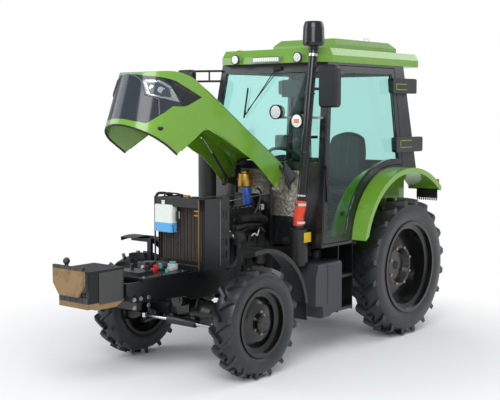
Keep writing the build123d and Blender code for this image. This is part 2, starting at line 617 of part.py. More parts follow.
# ---------------------------------------------------------------- tank, steps
def make_fuel_tank():
    """Blow-moulded tank with a raised deck, a neck and a recessed foot."""
    outline = side_face(
        (-1344, 452), (-1344, 690), (-1300, 809), (-958, 809), (-958, 380), (-1120, 358),
        (-1120, 330), (-1230, 330), (-1240, 440),
    )
    tank = side_plate(outline, 300, 690)
    tank = fillet(tank.edges().filter_by(Axis.Y), 34)
    neck = rod((450, -1012, 800), (450, -1012, 860), 36)
    neck += rod((450, -1012, 850), (450, -1012, 880), 46)
    keep("fuel_tank", tank + neck)


def make_steps():
    """Two treads between hanging side plates, under each door."""
    ladder = block((470, 650), (-957.7, -949.7), (340, 950)) + block((470, 650), (-738, -730), (340, 950))
    for z in (350, 640):
        ladder += block((470, 650), (-949.7, -738), (z, z + 26))
    keep("steps", both_sides(ladder))


# ---------------------------------------------------------------- cab
def frustum(inset, low=CAB_FLOOR_Z, high=CAB_TOP_Z, ends=None):
    """The cab's outer form with its sides set in by inset, and its ends too unless they are given."""
    ends = inset if ends is None else ends
    run = CAB_TOP_Z - CAB_FLOOR_Z
    rings = []
    for z in (low, high):
        t = (z - CAB_FLOOR_Z) / run
        x = CAB_FOOT["x"] + (CAB_HEAD["x"] - CAB_FOOT["x"]) * t - inset
        front = CAB_FOOT["front"] + (CAB_HEAD["front"] - CAB_FOOT["front"]) * t + ends
        rear = CAB_FOOT["rear"] + (CAB_HEAD["rear"] - CAB_FOOT["rear"]) * t - ends
        rings.append(Plane.XY.offset(z) * make_face(Polyline(
            (-x, front), (x, front), (x, rear), (-x, rear), close=True
        )))
    return loft(rings)


def fender_arcs(grow):
    """A rear fender's curve grown outward: a tighter arc in front that runs into a flatter one."""
    y, z, r = FENDER_FRONT["y"], FENDER_FRONT["z"], FENDER_FRONT["r"]
    start, join, end = FENDER_ANGLES

    def at(cy, cz, radius, angle):
        return (cy + radius * cos(radians(angle)), cz + radius * sin(radians(angle)))

    top_y, top_z = at(y, z, r - FENDER_TOP_R, join)
    front = [at(y, z, r + grow, a) for a in (start, (start + join) / 2, join)]
    top = [at(top_y, top_z, FENDER_TOP_R + grow, a) for a in (join, (join + end) / 2, end)]
    return front, top


def fender_region(grow=0.0):
    """What lies under a rear fender in the side view, drawn in (y, z)."""
    front, top = fender_arcs(grow)
    low = 760
    return make_face([
        ThreePointArc(*front),
        ThreePointArc(*top),
        Line(top[2], (top[2][0], low)),
        Line((top[2][0], low), (front[0][0], low)),
        Line((front[0][0], low), front[0]),
    ])


DOOR_LOW, DOOR_HIGH = 982, 2492
DOOR_FRONT = 16  # set back from the cab's front edge
DOOR_REAR = (62, 8)  # rear edge above the fender, and under the roof
DOOR_BEND_Z = 1500


def door_outline(grow=0.0):
    """Door's edge in the side view, grown outward: straight in front and on top, cut over the fender."""
    low, high = DOOR_LOW - grow, DOOR_HIGH + grow
    face = side_face(
        (cab_front(low) + DOOR_FRONT - grow, low), (cab_front(high) + DOOR_FRONT - grow, high),
        (DOOR_REAR[1] + grow, high), (DOOR_REAR[0] + grow, DOOR_BEND_Z), (DOOR_REAR[0] + grow, low),
    )
    return face - fender_region(SILL_GAP - grow)


def make_cab():
    shell = frustum(0) - frustum(CAB_WALL, CAB_FLOOR_Z + FLOOR_PLATE, CAB_TOP_Z + 1)
    under = fender_region()
    for side in (1, -1):
        arch = side_plate(under, 0, 300 if side > 0 else -300)
        shell -= Pos(side * (FENDER_IN - 12), 0, 0) * arch
        opening = door_outline(-DOOR_REBATE)
        shell -= side_plate(opening, side * 400, side * 900)
        seat = door_outline(DOOR_GAP)
        shell -= side_plate(seat, side * 400, side * 900) - frustum(DOOR_WALL + 3)
    # windscreen and rear window openings
    screen = make_face(Polyline((-600, 1660), (600, 1660), (545, 2440), (-545, 2440), close=True))
    shell -= front_plate(screen, -1400, -900)
    window = make_face(Polyline((-560, 1620), (560, 1620), (500, 2430), (-500, 2430), close=True))
    shell -= front_plate(window, 0, 500)
    # seat riser between the fenders
    riser = block((-FENDER_IN + 12, FENDER_IN - 12), (-420, 300), (CAB_FLOOR_Z + FLOOR_PLATE, 1130))
    shell += riser
    a, b = Vector(*DOOR_AXIS["foot"]), Vector(*DOOR_AXIS["head"])
    for share in HINGE_SHARES:
        p, way = a + (b - a) * share, (b - a).normalized()
        lug = extrude(Plane.XY.offset(p.Z - 20) * make_face(Polyline(
            (p.X - 45, p.Y - 95), (p.X - 5, p.Y - 95), (p.X + 9, p.Y), (p.X - 11, p.Y + 8),
            (p.X - 44, p.Y - 66), close=True,
        )), 40) - frustum(20)
        lug += rod(tuple(p - way * COVER_HALF), tuple(p + way * COVER_HALF), DOOR_PIN_R)
        shell += both_sides(lug)
    keep("cab_frame", shell)

    layer = frustum(20) - frustum(20 + GLASS)
    screen_glass = front_plate(offset(screen, -GLASS_GAP), -1400, -900) & layer
    rear_glass = front_plate(offset(window, -GLASS_GAP), 0, 500) & layer
    keep("windscreen", screen_glass)
    keep("rear_window", rear_glass)


def make_doors():
    outline = door_outline()
    skin = frustum(0) - frustum(DOOR_WALL, ends=-60)
    pane = door_outline(-DOOR_RIM)
    leaf = side_plate(outline - pane, 400, 900) & skin
    glass = side_plate(door_outline(-DOOR_RIM - GLASS_GAP), 400, 900) & (
        frustum(14) - frustum(14 + GLASS, ends=-60)
    )
    # hinge covers reach back beside the corner post; their flanges run on the post's pins, and
    # they end close behind the pin, inside the circle that clears the corner as the door swings
    a, b = Vector(*DOOR_AXIS["foot"]), Vector(*DOOR_AXIS["head"])
    for share in HINGE_SHARES:
        p = a + (b - a) * share
        cover = block((p.X - 30, p.X + 26), (-120, p.Y + 32), (p.Z - COVER_HALF, p.Z + COVER_HALF))
        cover += block((500, p.X), (-120, p.Y - 140), (p.Z - COVER_HALF, p.Z + COVER_HALF))
        cover = fillet(cover.edges().filter_by(Axis.X), 22) - frustum(-COVER_GAP)
        inside = COVER_HALF - 12
        cover -= block((500, p.X + 18), (-20, p.Y + 26), (p.Z - inside, p.Z + inside))
        edge = DOOR_REAR[0] + (DOOR_REAR[1] - DOOR_REAR[0]) * (p.Z - DOOR_BEND_Z) / (DOOR_HIGH - DOOR_BEND_Z)
        cover += block((500, p.X + 10), (-112, edge - 12), (p.Z - inside, p.Z + inside)) & (
            frustum(-COVER_GAP - 2) - frustum(0)
        )
        cover -= rod(tuple(a), tuple(b), DOOR_PIN_R + HUB_FIT)
        leaf += cover
    handle = rod((699, -1190, 1330), (687, -1176, 1480), 11)
    leaf += handle
    for name, shape in (("door_frame", leaf), ("door_glass", glass)):
        keep(f"{name}_left", shape)
        keep(f"{name}_right", mirrored(shape))


def make_roof():
    low = CAB_TOP_Z
    outline = make_face(Polyline(
        (-540, -1135), (540, -1135), (606, -1000), (606, 440), (540, 538), (-540, 538),
        (-606, 440), (-606, -1000), close=True,
    ))
    outline = fillet(outline.vertices(), 40)
    deck = extrude(Plane.XY.offset(low) * outline, 62)
    crown = extrude(Plane.XY.offset(low + 62) * outline, 62, taper=28)
    hump = block((-360, 360), (-600, 430), (low + 120, low + 240))
    hump = chamfer(hump.faces().sort_by(Axis.Z)[-1].edges(), 55)
    keep("roof", deck + crown + hump)


def make_rear_fenders():
    band = fender_region() - fender_region(-FENDER_WALL)
    cut = side_face((-1000, 700), (-1000, 978), (-840, 978), (-400, 1300), (300, 1380), (440, 1340),
                    (600, 1340), (600, 700))
    top = side_plate(band - cut, FENDER_IN, FENDER_OUT)
    lip_face = fender_region() - fender_region(-46) - cut
    lip = side_plate(lip_face, FENDER_OUT - FENDER_WALL, FENDER_OUT)
    inner_face = fender_region() & side_face((-900, CAB_FLOOR_Z), (-900, 1700), (380, 1700), (380, CAB_FLOOR_Z))
    inner = side_plate(inner_face, FENDER_IN - 12, FENDER_IN)
    fender = top + lip + inner
    keep("rear_fender_left", fender)
    keep("rear_fender_right", mirrored(fender))


def make_cab_inside():
    dash = side_face((-1180, 980), (-1120, 1560), (-1000, 1600), (-900, 1500), (-960, 980))
    dash = side_plate(dash, -210, 210)
    column = rod((0, -960, 1480), (0, -840, 1640), 28)
    tilt = Plane(origin=(0, -830, 1650), z_dir=(0, 0.6, 0.8))
    wheel = tilt * Torus(190, 14)
    hub = tilt * Cylinder(40, 30)
    for angle in (90, 210, 330):
        hub += tilt * Rot(0, 0, angle) * Pos(100, 0, 0) * Box(180, 30, 12)
    keep("steering_console", dash + column + wheel + hub)

    cushion = block((-240, 240), (-420, 60), (1250, 1370))
    cushion = fillet(cushion.edges(), 40)
    back = side_face((20, 1360), (120, 1360), (210, 1900), (110, 1900))
    back = side_plate(back, -230, 230)
    back = fillet(back.edges().filter_by(Axis.X), 40)
    keep("seat_cushion", cushion)
    keep("seat_back", Pos(0, -5.9, 0) * back)
    base = block((-180, 180), (-360, 40), (1130, 1250))
    keep("seat_base", base)


MIRROR = dict(x0=712, x1=900, y=-1330, z0=2130, z1=2478, deep=64)


def make_mirrors():
    m = MIRROR
    head = block((m["x0"], m["x1"]), (m["y"] - m["deep"] / 2, m["y"] + m["deep"] / 2), (m["z0"], m["z1"]))
    head = fillet(head.edges().filter_by(Axis.Y), 36)
    head = chamfer(head.faces().sort_by(Axis.Y)[0].edges(), 14)
    arm = None
    for z in (2466, 2372):
        piece = bent_tube(
            [(585, -1075, z + 4), (700, -1130, z + 4), (800, m["y"] + 60, z), (800, m["y"] + 20, z)], 10, 30
        )
        arm = piece if arm is None else arm + piece
    arm += rod((700, -1130, 2370), (700, -1130, 2470), 8)
    keep("mirrors", both_sides(head + (arm - frustum(-SEAT))))


def make_lamps():
    lamps = []
    for x in (-352, 352):
        lamps.append(rod((x, -1135.3, 2562), (x, -1171, 2562), 40))
    lamps.append(block((-150, 150), (-1168, -1135.3), (2530, 2578)))
    # two lamps on an arm from the corner post
    arm_y, arm_z = -1198, 2045
    arm = [(604, cab_front(arm_z - 10), arm_z), (604, arm_y, arm_z), (200, arm_y, arm_z)]
    lamps.append(bent_tube(arm, 10, 24))
    for x, z in ((212, 2093), (440, 2017)):
        lamps.append(rod((x, arm_y - 30, z), (x, arm_y - 90, z), 58))
        lamps.append(rod((x, arm_y, arm_z), (x, arm_y - 40, z), 11))
    keep("work_lamps", lamps[0].fuse(*lamps[1:]))
    lamp = block((FENDER_OUT - 120, FENDER_OUT - 20), (400, 462), (1370, 1448))
    lamp -= side_plate(fender_region(0), 0, 900)
    keep("tail_lamps", both_sides(lamp))


# ---------------------------------------------------------------- rear hitch
LIFT = dict(y=330, z=830, arm=232, tilt=14)  # rockshaft line, arm's length and its rise at rest
LINK = dict(x=225, y=190, z=432, length=690, tilt=2, lug=370)
LINK_BALL_R = 11.2
TOP_PIN_R = 9.6
PTO_Z = 640
PTO_R = 17.46
BALL_W = 35


def turn_at(y, z, angle):
    """Place for what is drawn along +Y from the origin and turned up by angle about X."""
    return Pos(0, y, z) * Rot(angle, 0, 0)


def on_arm(pivot, angle, reach):
    """A point at a reach along an arm that rises by angle, as (y, z)."""
    return pivot["y"] + reach * cos(radians(angle)), pivot["z"] + reach * sin(radians(angle))


def make_rear_hitch():
    """Drawbar on its frame, the link pins, the power shaft, and ears for the upper link."""
    tip = REAR_REACH - 48
    bar = block((-38, 38), (220, tip), (330, 362)) + rod((0, tip, 330), (0, tip, 362), 48)
    bar -= rod((0, tip, 320), (0, tip, 370), 16.5)
    frame = block((-150, 150), (220, 262), (300, 450)) + block((-150, 150), (262, 300), (300, 330))
    pin_x = LINK["x"] + BALL_W / 2 + 8
    pins = rod((-pin_x, LINK["y"], LINK["z"]), (pin_x, LINK["y"], LINK["z"]), 14)
    pins += block((-190, 190), (LINK["y"] - 40, LINK["y"] + 30), (LINK["z"] - 34, 450))
    shaft = rod((0, 300, PTO_Z), (0, 390, PTO_Z), PTO_R) + rod((0, 300, PTO_Z), (0, 312, PTO_Z), 62)
    shield = block((-120, 120), (300, 420), (760, 766)) + both_sides(
        block((114, 120), (300, 420), (650, 760))
    )
    ears = both_sides(side_plate(side_face((300, 690), (300, 850), (360, 830), (375, 800), (360, 766)), 26, 42))
    ears -= rod((-50, 345, 802), (50, 345, 802), TOP_PIN_R)
    keep("rear_hitch", bar + frame + pins + shaft + shield + ears)


def make_lift():
    """Rockshaft with its two arms; below, the lower links and the rods that hang them."""
    arm_x, arm_w, pin_r = 196, 22, 11
    rod_x = arm_x + arm_w / 2 + 20
    eye_half = 13
    foot_x = LINK["x"] - 14 - 5 - eye_half
    y, z = LIFT["y"], LIFT["z"]
    arm = make_face(Polyline(
        (-40, -38), (-40, 38), (LIFT["arm"] - 10, 24), (LIFT["arm"] + 24, 14), (LIFT["arm"] + 24, -14),
        (LIFT["arm"] - 10, -24), close=True,
    ))
    arm = turn_at(y, z, LIFT["tilt"]) * side_plate(arm, arm_x - arm_w / 2, arm_x + arm_w / 2)
    arm += rod((150.5, y, z), (arm_x, y, z), 34)
    end_y, end_z = on_arm(LIFT, LIFT["tilt"], LIFT["arm"])
    arm += rod((arm_x, end_y, end_z), (rod_x - eye_half - 4, end_y, end_z), pin_r)
    keep("lift_arms", both_sides(arm))

    bar = block((-14, 14), (30, LINK["length"] - 28), (-32, 32))
    bar += rod((-BALL_W / 2, 0, 0), (BALL_W / 2, 0, 0), 40) + rod(
        (-BALL_W / 2, LINK["length"], 0), (BALL_W / 2, LINK["length"], 0), 34
    )
    bar -= rod((-30, 0, 0), (30, 0, 0), 14 + HUB_FIT)
    bar -= rod((-30, LINK["length"], 0), (30, LINK["length"], 0), LINK_BALL_R)
    bar += rod((foot_x - eye_half - LINK["x"], LINK["lug"], 0), (14, LINK["lug"], 0), pin_r)
    link = Pos(LINK["x"], 0, 0) * turn_at(LINK["y"], LINK["z"], LINK["tilt"]) * bar
    keep("lower_links", both_sides(link))

    # each rod's lower eye runs on the link's pin; its upper eye stands beside the arm's pin
    foot_y, foot_z = on_arm(LINK, LINK["tilt"], LINK["lug"])
    hanger = rod((foot_x, foot_y, foot_z), (rod_x, end_y, end_z), 13)
    middle = Vector((foot_x + rod_x) / 2, (foot_y + end_y) / 2, (foot_z + end_z) / 2)
    way = Vector(rod_x - foot_x, end_y - foot_y, end_z - foot_z).normalized()
    hanger += Plane(origin=middle, z_dir=way) * Cylinder(20, 150)
    hanger += rod((foot_x - eye_half, foot_y, foot_z), (foot_x + eye_half, foot_y, foot_z), 24)
    hanger += rod((rod_x - eye_half, end_y, end_z), (rod_x + eye_half, end_y, end_z), 22)
    hanger -= rod((foot_x - 20, foot_y, foot_z), (foot_x + 20, foot_y, foot_z), pin_r + HUB_FIT)
    keep("lift_rods", both_sides(hanger))


# ---------------------------------------------------------------- hood
def hood_side(inset=0.0, low=None):
    """Closed hood seen from the side, drawn in (y, z), with its lower edge unless a level is given."""
    crown, brow = HOOD_CROWN_Z - inset, HOOD_CROWN_Z - 82 - inset
    lower = [(-3100, 1034), (-2480, 1042), (-2298, 1392), (-2060, 1432), (-1690, 1470), (-1500, 1455),
             (-1268, 1415)] if low is None else [(-3100, low), (-1100, low)]
    rear = (lower[-1][0] + 6 if low is None else -1100, crown)
    return make_face([
        ThreePointArc(rear, (-1950, crown - 10), (-2480, brow)),
        ThreePointArc((-2480, brow), (-2780, 1592 - inset), (-2992, 1440 - inset)),
        Line((-2992, 1440 - inset), (-3100, 1340 - inset)),
        Polyline((-3100, 1340 - inset), *lower, rear),
    ])


def hood_section(y, foot, shoulder):
    """Closed hood's section at y: sides leaning in to a crease, then a crowned top."""
    plane = Plane(origin=(0, y, 0), x_dir=(1, 0, 0), z_dir=(0, -1, 0))
    return plane * make_face([
        Line((foot, 900), (shoulder[0], shoulder[1])),
        ThreePointArc(shoulder, (0, shoulder[1] + HOOD_CROWN_Z + 8 - HOOD_CREASE_Z), (-shoulder[0], shoulder[1])),
        Line((-shoulder[0], shoulder[1]), (-foot, 900)),
        Line((-foot, 900), (foot, 900)),
    ])


def hood_plan(z, tip, inset):
    """Closed hood from above at one level: straight sides that round into the nose as half an ellipse."""
    w = HOOD_REAR_FOOT_X + 6 - inset
    nose = HOOD_FOOT_X + 6 - inset
    return Plane.XY.offset(z) * make_face([
        EllipticalCenterArc(
            (0, NOSE_START), nose, NOSE_START - tip - inset, start_angle=180, arc_size=180,
        ),
        Polyline((nose, NOSE_START), (w, -1200), (w, -1000), (-w, -1000), (-w, -1200), (-nose, NOSE_START)),
    ])


def hood_solid(inset=0.0):
    body = loft([hood_plan(z, tip, inset) for tip, z in NOSE_TIPS], ruled=True)
    top = HOOD_CREASE_Z - inset
    body &= loft([
        hood_section(-3120, HOOD_FOOT_X - inset, (HOOD_SHOULDER_X - inset, top)),
        hood_section(-2480, HOOD_FOOT_X - inset, (HOOD_SHOULDER_X - inset, top)),
        hood_section(-1050, HOOD_REAR_FOOT_X - inset, (HOOD_REAR_SHOULDER_X - inset, top)),
    ], ruled=True)
    return body & side_plate(hood_side(inset, 900 if inset else None), -450, 450)


HEADLAMP = [
    (-2966, 1394), (-2886, 1446), (-2789, 1448), (-2647, 1401), (-2756, 1352), (-2832, 1322), (-2909, 1301),
]
MASK = [
    (-3120, 1072), (-2886, 1080), (-2828, 1098), (-2779, 1200), (-2701, 1332), (-2604, 1391), (-2560, 1430),
    (-2452, 1578), (-2763, 1519), (-2886, 1473), (-2976, 1429), (-3120, 1392),
]


def swing(shape):
    """Closed hood piece turned up to where it stands open."""
    return shape.rotate(Axis((0, HINGE_Y, HINGE_Z), (1, 0, 0)), -HOOD_OPEN)


def closed(point):
    """A (y, z) point on the open hood, turned back down to where it lies when closed."""
    turn = radians(HOOD_OPEN)
    y, z = point[0] - HINGE_Y, point[1] - HINGE_Z
    return HINGE_Y + y * cos(turn) - z * sin(turn), HINGE_Z + y * sin(turn) + z * cos(turn)


def make_hood():
    shell = hood_solid() - hood_solid(HOOD_WALL)
    mask_cut = side_plate(side_face(*MASK), -400, 400)
    lamp_cut = side_plate(side_face(*HEADLAMP), -400, 400)
    mask = (shell & mask_cut) - lamp_cut
    panel = shell - mask_cut
    lamp_body = (hood_solid(2) - hood_solid(60)) & lamp_cut & (
        both_sides(block((120, 400), (-3100, -2500), (1200, 1500)))
    )
    # hinge arms riveted under the hood's rear
    arm = side_plate(side_face(
        (-1600, 1640), (-1600, 1700), (-1420, 1700), (HINGE_Y, HINGE_Z + 22), (HINGE_Y + 22, HINGE_Z),
        (HINGE_Y, HINGE_Z - 22), (-1440, 1620),
    ), ARM_X0, ARM_X1)
    arm -= rod((ARM_X0 - 5, HINGE_Y, HINGE_Z), (ARM_X1 + 5, HINGE_Y, HINGE_Z), HINGE_R + HUB_FIT)
    panel += both_sides(arm & hood_solid(1))
    # ear with the strut's upper pin, which ends just short of the rod's eye
    eye = closed(STRUT_EYE)
    ear = side_plate(side_face(
        (eye[0] - 40, 1720), (eye[0] + 40, 1720), (eye[0] + 12, eye[1] - 12), (eye[0] - 12, eye[1] - 12)
    ), STRUT_X - 22, STRUT_X - 16)
    ear += rod((STRUT_X - 16, *eye), (STRUT_X - 9, *eye), STRUT_PIN_R)
    panel += ear & hood_solid(1)
    keep("hood_panel", swing(panel))
    keep("hood_mask", swing(mask))
    keep("headlamps", swing(lamp_body))


def make_cowl():
    """Hoop on the flywheel housing that carries the hood's hinge pins and the strut's foot."""
    x0, x1 = LEG_X
    back = ENGINE_REAR + 60 - SEAT
    front = back - 33
    leg = side_plate(side_face(
        (front, 870), (back, 870), (back, 1480), (HINGE_Y + 22, 1570), (HINGE_Y + 22, HINGE_Z + 22),
        (HINGE_Y - 26, HINGE_Z + 22), (front, 1560),
    ), x0, x1)
    leg -= rod((0, front - 5, CRANK_Z), (0, back + 5, CRANK_Z), BELL_R + SEAT)
    pins = rod((x0, HINGE_Y, HINGE_Z), (ARM_X1 + 4, HINGE_Y, HINGE_Z), HINGE_R)
    hoop = both_sides(leg + pins) + block((-x1, x1), (front, front + 6), (1180, 1380))
    y, z = STRUT_FOOT
    horn = side_plate(side_face(
        (front + 4, 1440), (front + 4, 1520), (y - 16, z + 14), (y - 16, z - 14)
    ), -x1, -x0)
    hoop += horn + rod((STRUT_X + 10, y, z), (-x0, y, z), STRUT_PIN_R)
    keep("cowl_hoop", hoop)


def make_strut():
    """Gas strut: its barrel turns on the hoop's pin, its rod's eye stands beside the hood's pin."""
    a, b = Vector(STRUT_X, *STRUT_FOOT), Vector(STRUT_X, *STRUT_EYE)
    way = (b - a).normalized()
    length = (b - a).length
    barrel = rod(tuple(a + way * 10), tuple(a + way * (length * 0.62)), 12)
    barrel += rod((STRUT_X - 8, *STRUT_FOOT), (STRUT_X + 8, *STRUT_FOOT), 16)
    barrel -= rod(tuple(a + way * 60), tuple(a + way * length), STRUT_ROD_R + HUB_FIT)
    barrel -= rod((STRUT_X - 14, *STRUT_FOOT), (STRUT_X + 14, *STRUT_FOOT), STRUT_PIN_R + HUB_FIT)
    piston = rod(tuple(a + way * (length * 0.42)), tuple(b), STRUT_ROD_R)
    piston += rod((STRUT_X - 8, *STRUT_EYE), (STRUT_X + 8, *STRUT_EYE), 14)
    keep("strut_barrel", barrel)
    keep("strut_rod", piston)


BUILD = [
    make_wheels, make_front_axle, make_knuckles, make_front_fenders, make_front_frame,
    make_front_ballast, make_battery_tray, make_engine, make_engine_fittings, make_radiator,
    make_radiator_shroud, make_coolant_bottle, make_air_intake, make_muffler, make_transmission,
    make_fuel_tank, make_steps, make_cab, make_doors, make_roof, make_rear_fenders,
    make_cab_inside, make_mirrors, make_lamps, make_rear_hitch, make_lift, make_hood, make_cowl,
    make_strut,
]

for step in BUILD:
    step()

os.makedirs("parts", exist_ok=True)
for name, shape in parts.items():
    export_step(Pos(0, REAR_AXLE_Y, 0) * shape, f"parts/{name}.step")
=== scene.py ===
from contextlib import contextmanager
from math import cos, pi, radians, sin

import bpy
from mathutils import Matrix, Vector


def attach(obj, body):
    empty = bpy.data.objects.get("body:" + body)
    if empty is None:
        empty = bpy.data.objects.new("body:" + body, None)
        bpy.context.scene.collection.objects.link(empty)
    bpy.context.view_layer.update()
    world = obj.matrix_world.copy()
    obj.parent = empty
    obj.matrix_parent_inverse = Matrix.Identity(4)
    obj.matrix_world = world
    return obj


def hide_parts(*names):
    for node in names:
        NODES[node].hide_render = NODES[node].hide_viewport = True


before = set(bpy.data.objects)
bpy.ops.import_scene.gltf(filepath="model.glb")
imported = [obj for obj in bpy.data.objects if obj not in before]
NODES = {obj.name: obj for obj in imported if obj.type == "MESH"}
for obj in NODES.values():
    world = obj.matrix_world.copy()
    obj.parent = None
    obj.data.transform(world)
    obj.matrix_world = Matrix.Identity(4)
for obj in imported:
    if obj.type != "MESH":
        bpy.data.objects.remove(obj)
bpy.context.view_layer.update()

# ---- Camera, lamps and floor ----
# A long lens from ahead of the tractor's left front wheel, at about head height. Three large soft
# boxes and a white room light it; the floor fades to white away from the wheels.
CAMERA_AT = (5.6254, -6.9127, 2.1111)
CAMERA_TURN = (radians(90 - 5.113), 0, radians(39.665))
bpy.ops.object.camera_add(location=CAMERA_AT, rotation=CAMERA_TURN)
camera = bpy.context.object
camera.data.lens = 72.55
camera.data.sensor_width = 36
camera.data.clip_end = 100
bpy.context.scene.camera = camera
bpy.context.scene.view_settings.view_transform = "Standard"


def node(tree, kind, settings=None, links=None):
    """Adds a shader node; settings go to its properties or sockets, links are (output, input) pairs."""
    made = tree.nodes.new(kind)
    for key, value in (settings or {}).items():
        if isinstance(key, str) and hasattr(made, key):
            setattr(made, key, value)
        else:
            made.inputs[key].default_value = value
    for source, socket in (links or []):
        tree.links.new(source, made.inputs[socket])
    return made


def hex_colour(text):
    """An sRGB hex value as the linear colour that a shader socket takes."""
    channels = [int(text[i:i + 2], 16) / 255 for i in (1, 3, 5)]
    return [c / 12.92 if c <= 0.04045 else ((c + 0.055) / 1.055) ** 2.4 for c in channels] + [1]


SOFTBOX_SIZE = 5.0
for name, place, turn, power, tint in (
    ("key_softbox", (4.5, -6.5, 6.0), (50, 0, 35), 430, "#ffffff"),
    ("fill_softbox", (-6.5, -4.5, 4.5), (60, 0, -55), 190, "#f4f8ff"),
    ("rear_softbox", (3.5, 7.0, 5.5), (-52, 0, -25), 150, "#ffffff"),
):
    bpy.ops.object.light_add(type="AREA", location=place, rotation=[radians(a) for a in turn])
    lamp = bpy.context.object
    lamp.name = name
    lamp.data.size = SOFTBOX_SIZE
    lamp.data.energy = power
    lamp.data.color = hex_colour(tint)[:3]

world = bpy.data.worlds.new("white_room")
bpy.context.scene.world = world
world.use_nodes = True
room = world.node_tree
room.nodes.clear()
path = node(room, "ShaderNodeLightPath")
seen = node(room, "ShaderNodeMath", {"operation": "MAXIMUM"},
            [(path.outputs["Is Camera Ray"], 0), (path.outputs["Is Transmission Ray"], 1)])
lit = node(room, "ShaderNodeBackground", {"Color": hex_colour("#eef2f6"), "Strength": 0.62})
white = node(room, "ShaderNodeBackground", {"Color": hex_colour("#ffffff"), "Strength": 1.0})
either = node(room, "ShaderNodeMixShader", {},
              [(seen.outputs[0], 0), (lit.outputs[0], 1), (white.outputs[0], 2)])
node(room, "ShaderNodeOutputWorld", {}, [(either.outputs[0], 0)])

bpy.ops.mesh.primitive_circle_add(vertices=96, radius=40, fill_type="NGON", location=(0, 0, 0))
floor = bpy.context.object
floor.name = "studio_floor"
paper = bpy.data.materials.new("seamless_paper")
paper.use_nodes = True
sheet = paper.node_tree
sheet.nodes.clear()
spot = node(sheet, "ShaderNodeTexCoord")
away = node(sheet, "ShaderNodeVectorMath", {"operation": "LENGTH"}, [(spot.outputs["Object"], 0)])
fade = node(sheet, "ShaderNodeMapRange", {"From Min": 1.9, "From Max": 3.3}, [(away.outputs["Value"], 0)])
matt = node(sheet, "ShaderNodeBsdfDiffuse", {"Color": hex_colour("#fafafa")})
glow = node(sheet, "ShaderNodeEmission", {"Color": hex_colour("#ffffff"), "Strength": 1.0})
blend = node(sheet, "ShaderNodeMixShader", {},
             [(fade.outputs[0], 0), (matt.outputs[0], 1), (glow.outputs[0], 2)])
node(sheet, "ShaderNodeOutputMaterial", {}, [(blend.outputs[0], 0)])
floor.data.materials.append(paper)


# ---- Front frame and tray ----
# Two pressed rails with cross plates, and the tray bolted on top. Welded steel, sprayed satin black;
# road dust lies on what faces up.
class Look:
    """A material being made: its node tree, its shader and the point's place in the frame."""

    def __init__(self, name):
        self.material = bpy.data.materials.new(name)
        self.material.use_nodes = True
        self.tree = self.material.node_tree
        self.shader = self.tree.nodes["Principled BSDF"]
        self.where = self.add("ShaderNodeTexCoord").outputs["Object"]

    def add(self, kind, settings=None, links=None):
        return node(self.tree, kind, settings, links)

    def noise(self, scale, detail, roughness=0.5):
        """Clouds about one over scale metres across."""
        made = self.add("ShaderNodeTexNoise", {"Scale": scale, "Detail": detail, "Roughness": roughness},
                        [(self.where, "Vector")])
        return made.outputs["Fac"]

    def pores(self, scale):
        """Round hollows about one over scale metres across."""
        made = self.add("ShaderNodeTexVoronoi", {"Scale": scale}, [(self.where, "Vector")])
        return made.outputs["Distance"]

    def axes(self, vector):
        """The X, Y and Z of a vector."""
        return self.add("ShaderNodeSeparateXYZ", {}, [(vector, 0)]).outputs

    def mapped(self, source, low, high, start=0.0, end=1.0):
        """Takes start to low and end to high, and stops at both."""
        limits = {"From Min": start, "From Max": end, "To Min": low, "To Max": high}
        return self.add("ShaderNodeMapRange", limits, [(source, 0)]).outputs[0]

    def maths(self, operation, first, second=None):
        """One sum on a socket, with a number or another socket."""
        settings, links = {"operation": operation}, [(first, 0)]
        if isinstance(second, float):
            settings[1] = second
        elif second is not None:
            links.append((second, 1))
        return self.add("ShaderNodeMath", settings, links).outputs[0]

    def mixed(self, share, first, second):
        """Two colours, hex values or sockets, mixed by share."""
        settings, links = {"data_type": "RGBA"}, [(share, 0)]
        for slot, colour in ((6, first), (7, second)):
            if isinstance(colour, str):
                settings[slot] = hex_colour(colour)
            else:
                links.append((colour, slot))
        return self.add("ShaderNodeMix", settings, links).outputs[2]

    def shaded(self, colour, share, low, high):
        """A hex colour made darker and lighter by share, between two factors."""
        return self.add("ShaderNodeVectorMath", {"operation": "SCALE", 0: hex_colour(colour)[:3]},
                        [(self.mapped(share, low, high), "Scale")]).outputs[0]

    def relief(self, height, strength, distance):
        """The normal of a relief whose full height is distance, in metres."""
        return self.add("ShaderNodeBump", {"Strength": strength, "Distance": distance},
                        [(height, "Height")]).outputs[0]

    def done(self, looks):
        """Sets or links the shader's inputs and hands over the material."""
        for key, value in looks.items():
            if isinstance(value, bpy.types.NodeSocket):
                self.tree.links.new(value, self.shader.inputs[key])
            else:
                self.shader.inputs[key].default_value = value
        return self.material


def black_paint(name, colour="#0d0f11", dust="#3f3f3e", roughness=0.32):
    """Two-coat chassis black over steel: a faint orange peel, with dust on faces that look up."""
    look = Look(name)
    cloud = look.noise(7, 6, 0.65)
    up = look.axes(look.add("ShaderNodeNewGeometry").outputs["Normal"])["Z"]
    dusty = look.maths("MULTIPLY", look.mapped(up, 0, 0.4, 0.2, 1.0), cloud)
    return look.done({
        "Base Color": look.mixed(dusty, colour, dust),
        "Roughness": look.mapped(cloud, roughness - 0.1, roughness + 0.14),
        "Coat Weight": 0.25,
        "Coat Roughness": 0.3,
        # orange peel has waves of about 3 mm
        "Normal": look.relief(look.noise(330, 1), 0.12, 0.0004),
    })


def coat(material, *names):
    """Gives CAD nodes their finish."""
    for name in names:
        mesh = NODES[name].data
        mesh.materials.clear()
        mesh.materials.append(material)


chassis_black = black_paint("chassis_black_paint")
coat(chassis_black, "front_frame", "front_axle", "knuckle_left", "knuckle_right", "front_drive_shaft",
     "battery_tray", "steps", "rear_hitch", "lift_arms", "lower_links", "lift_rods", "cowl_hoop")


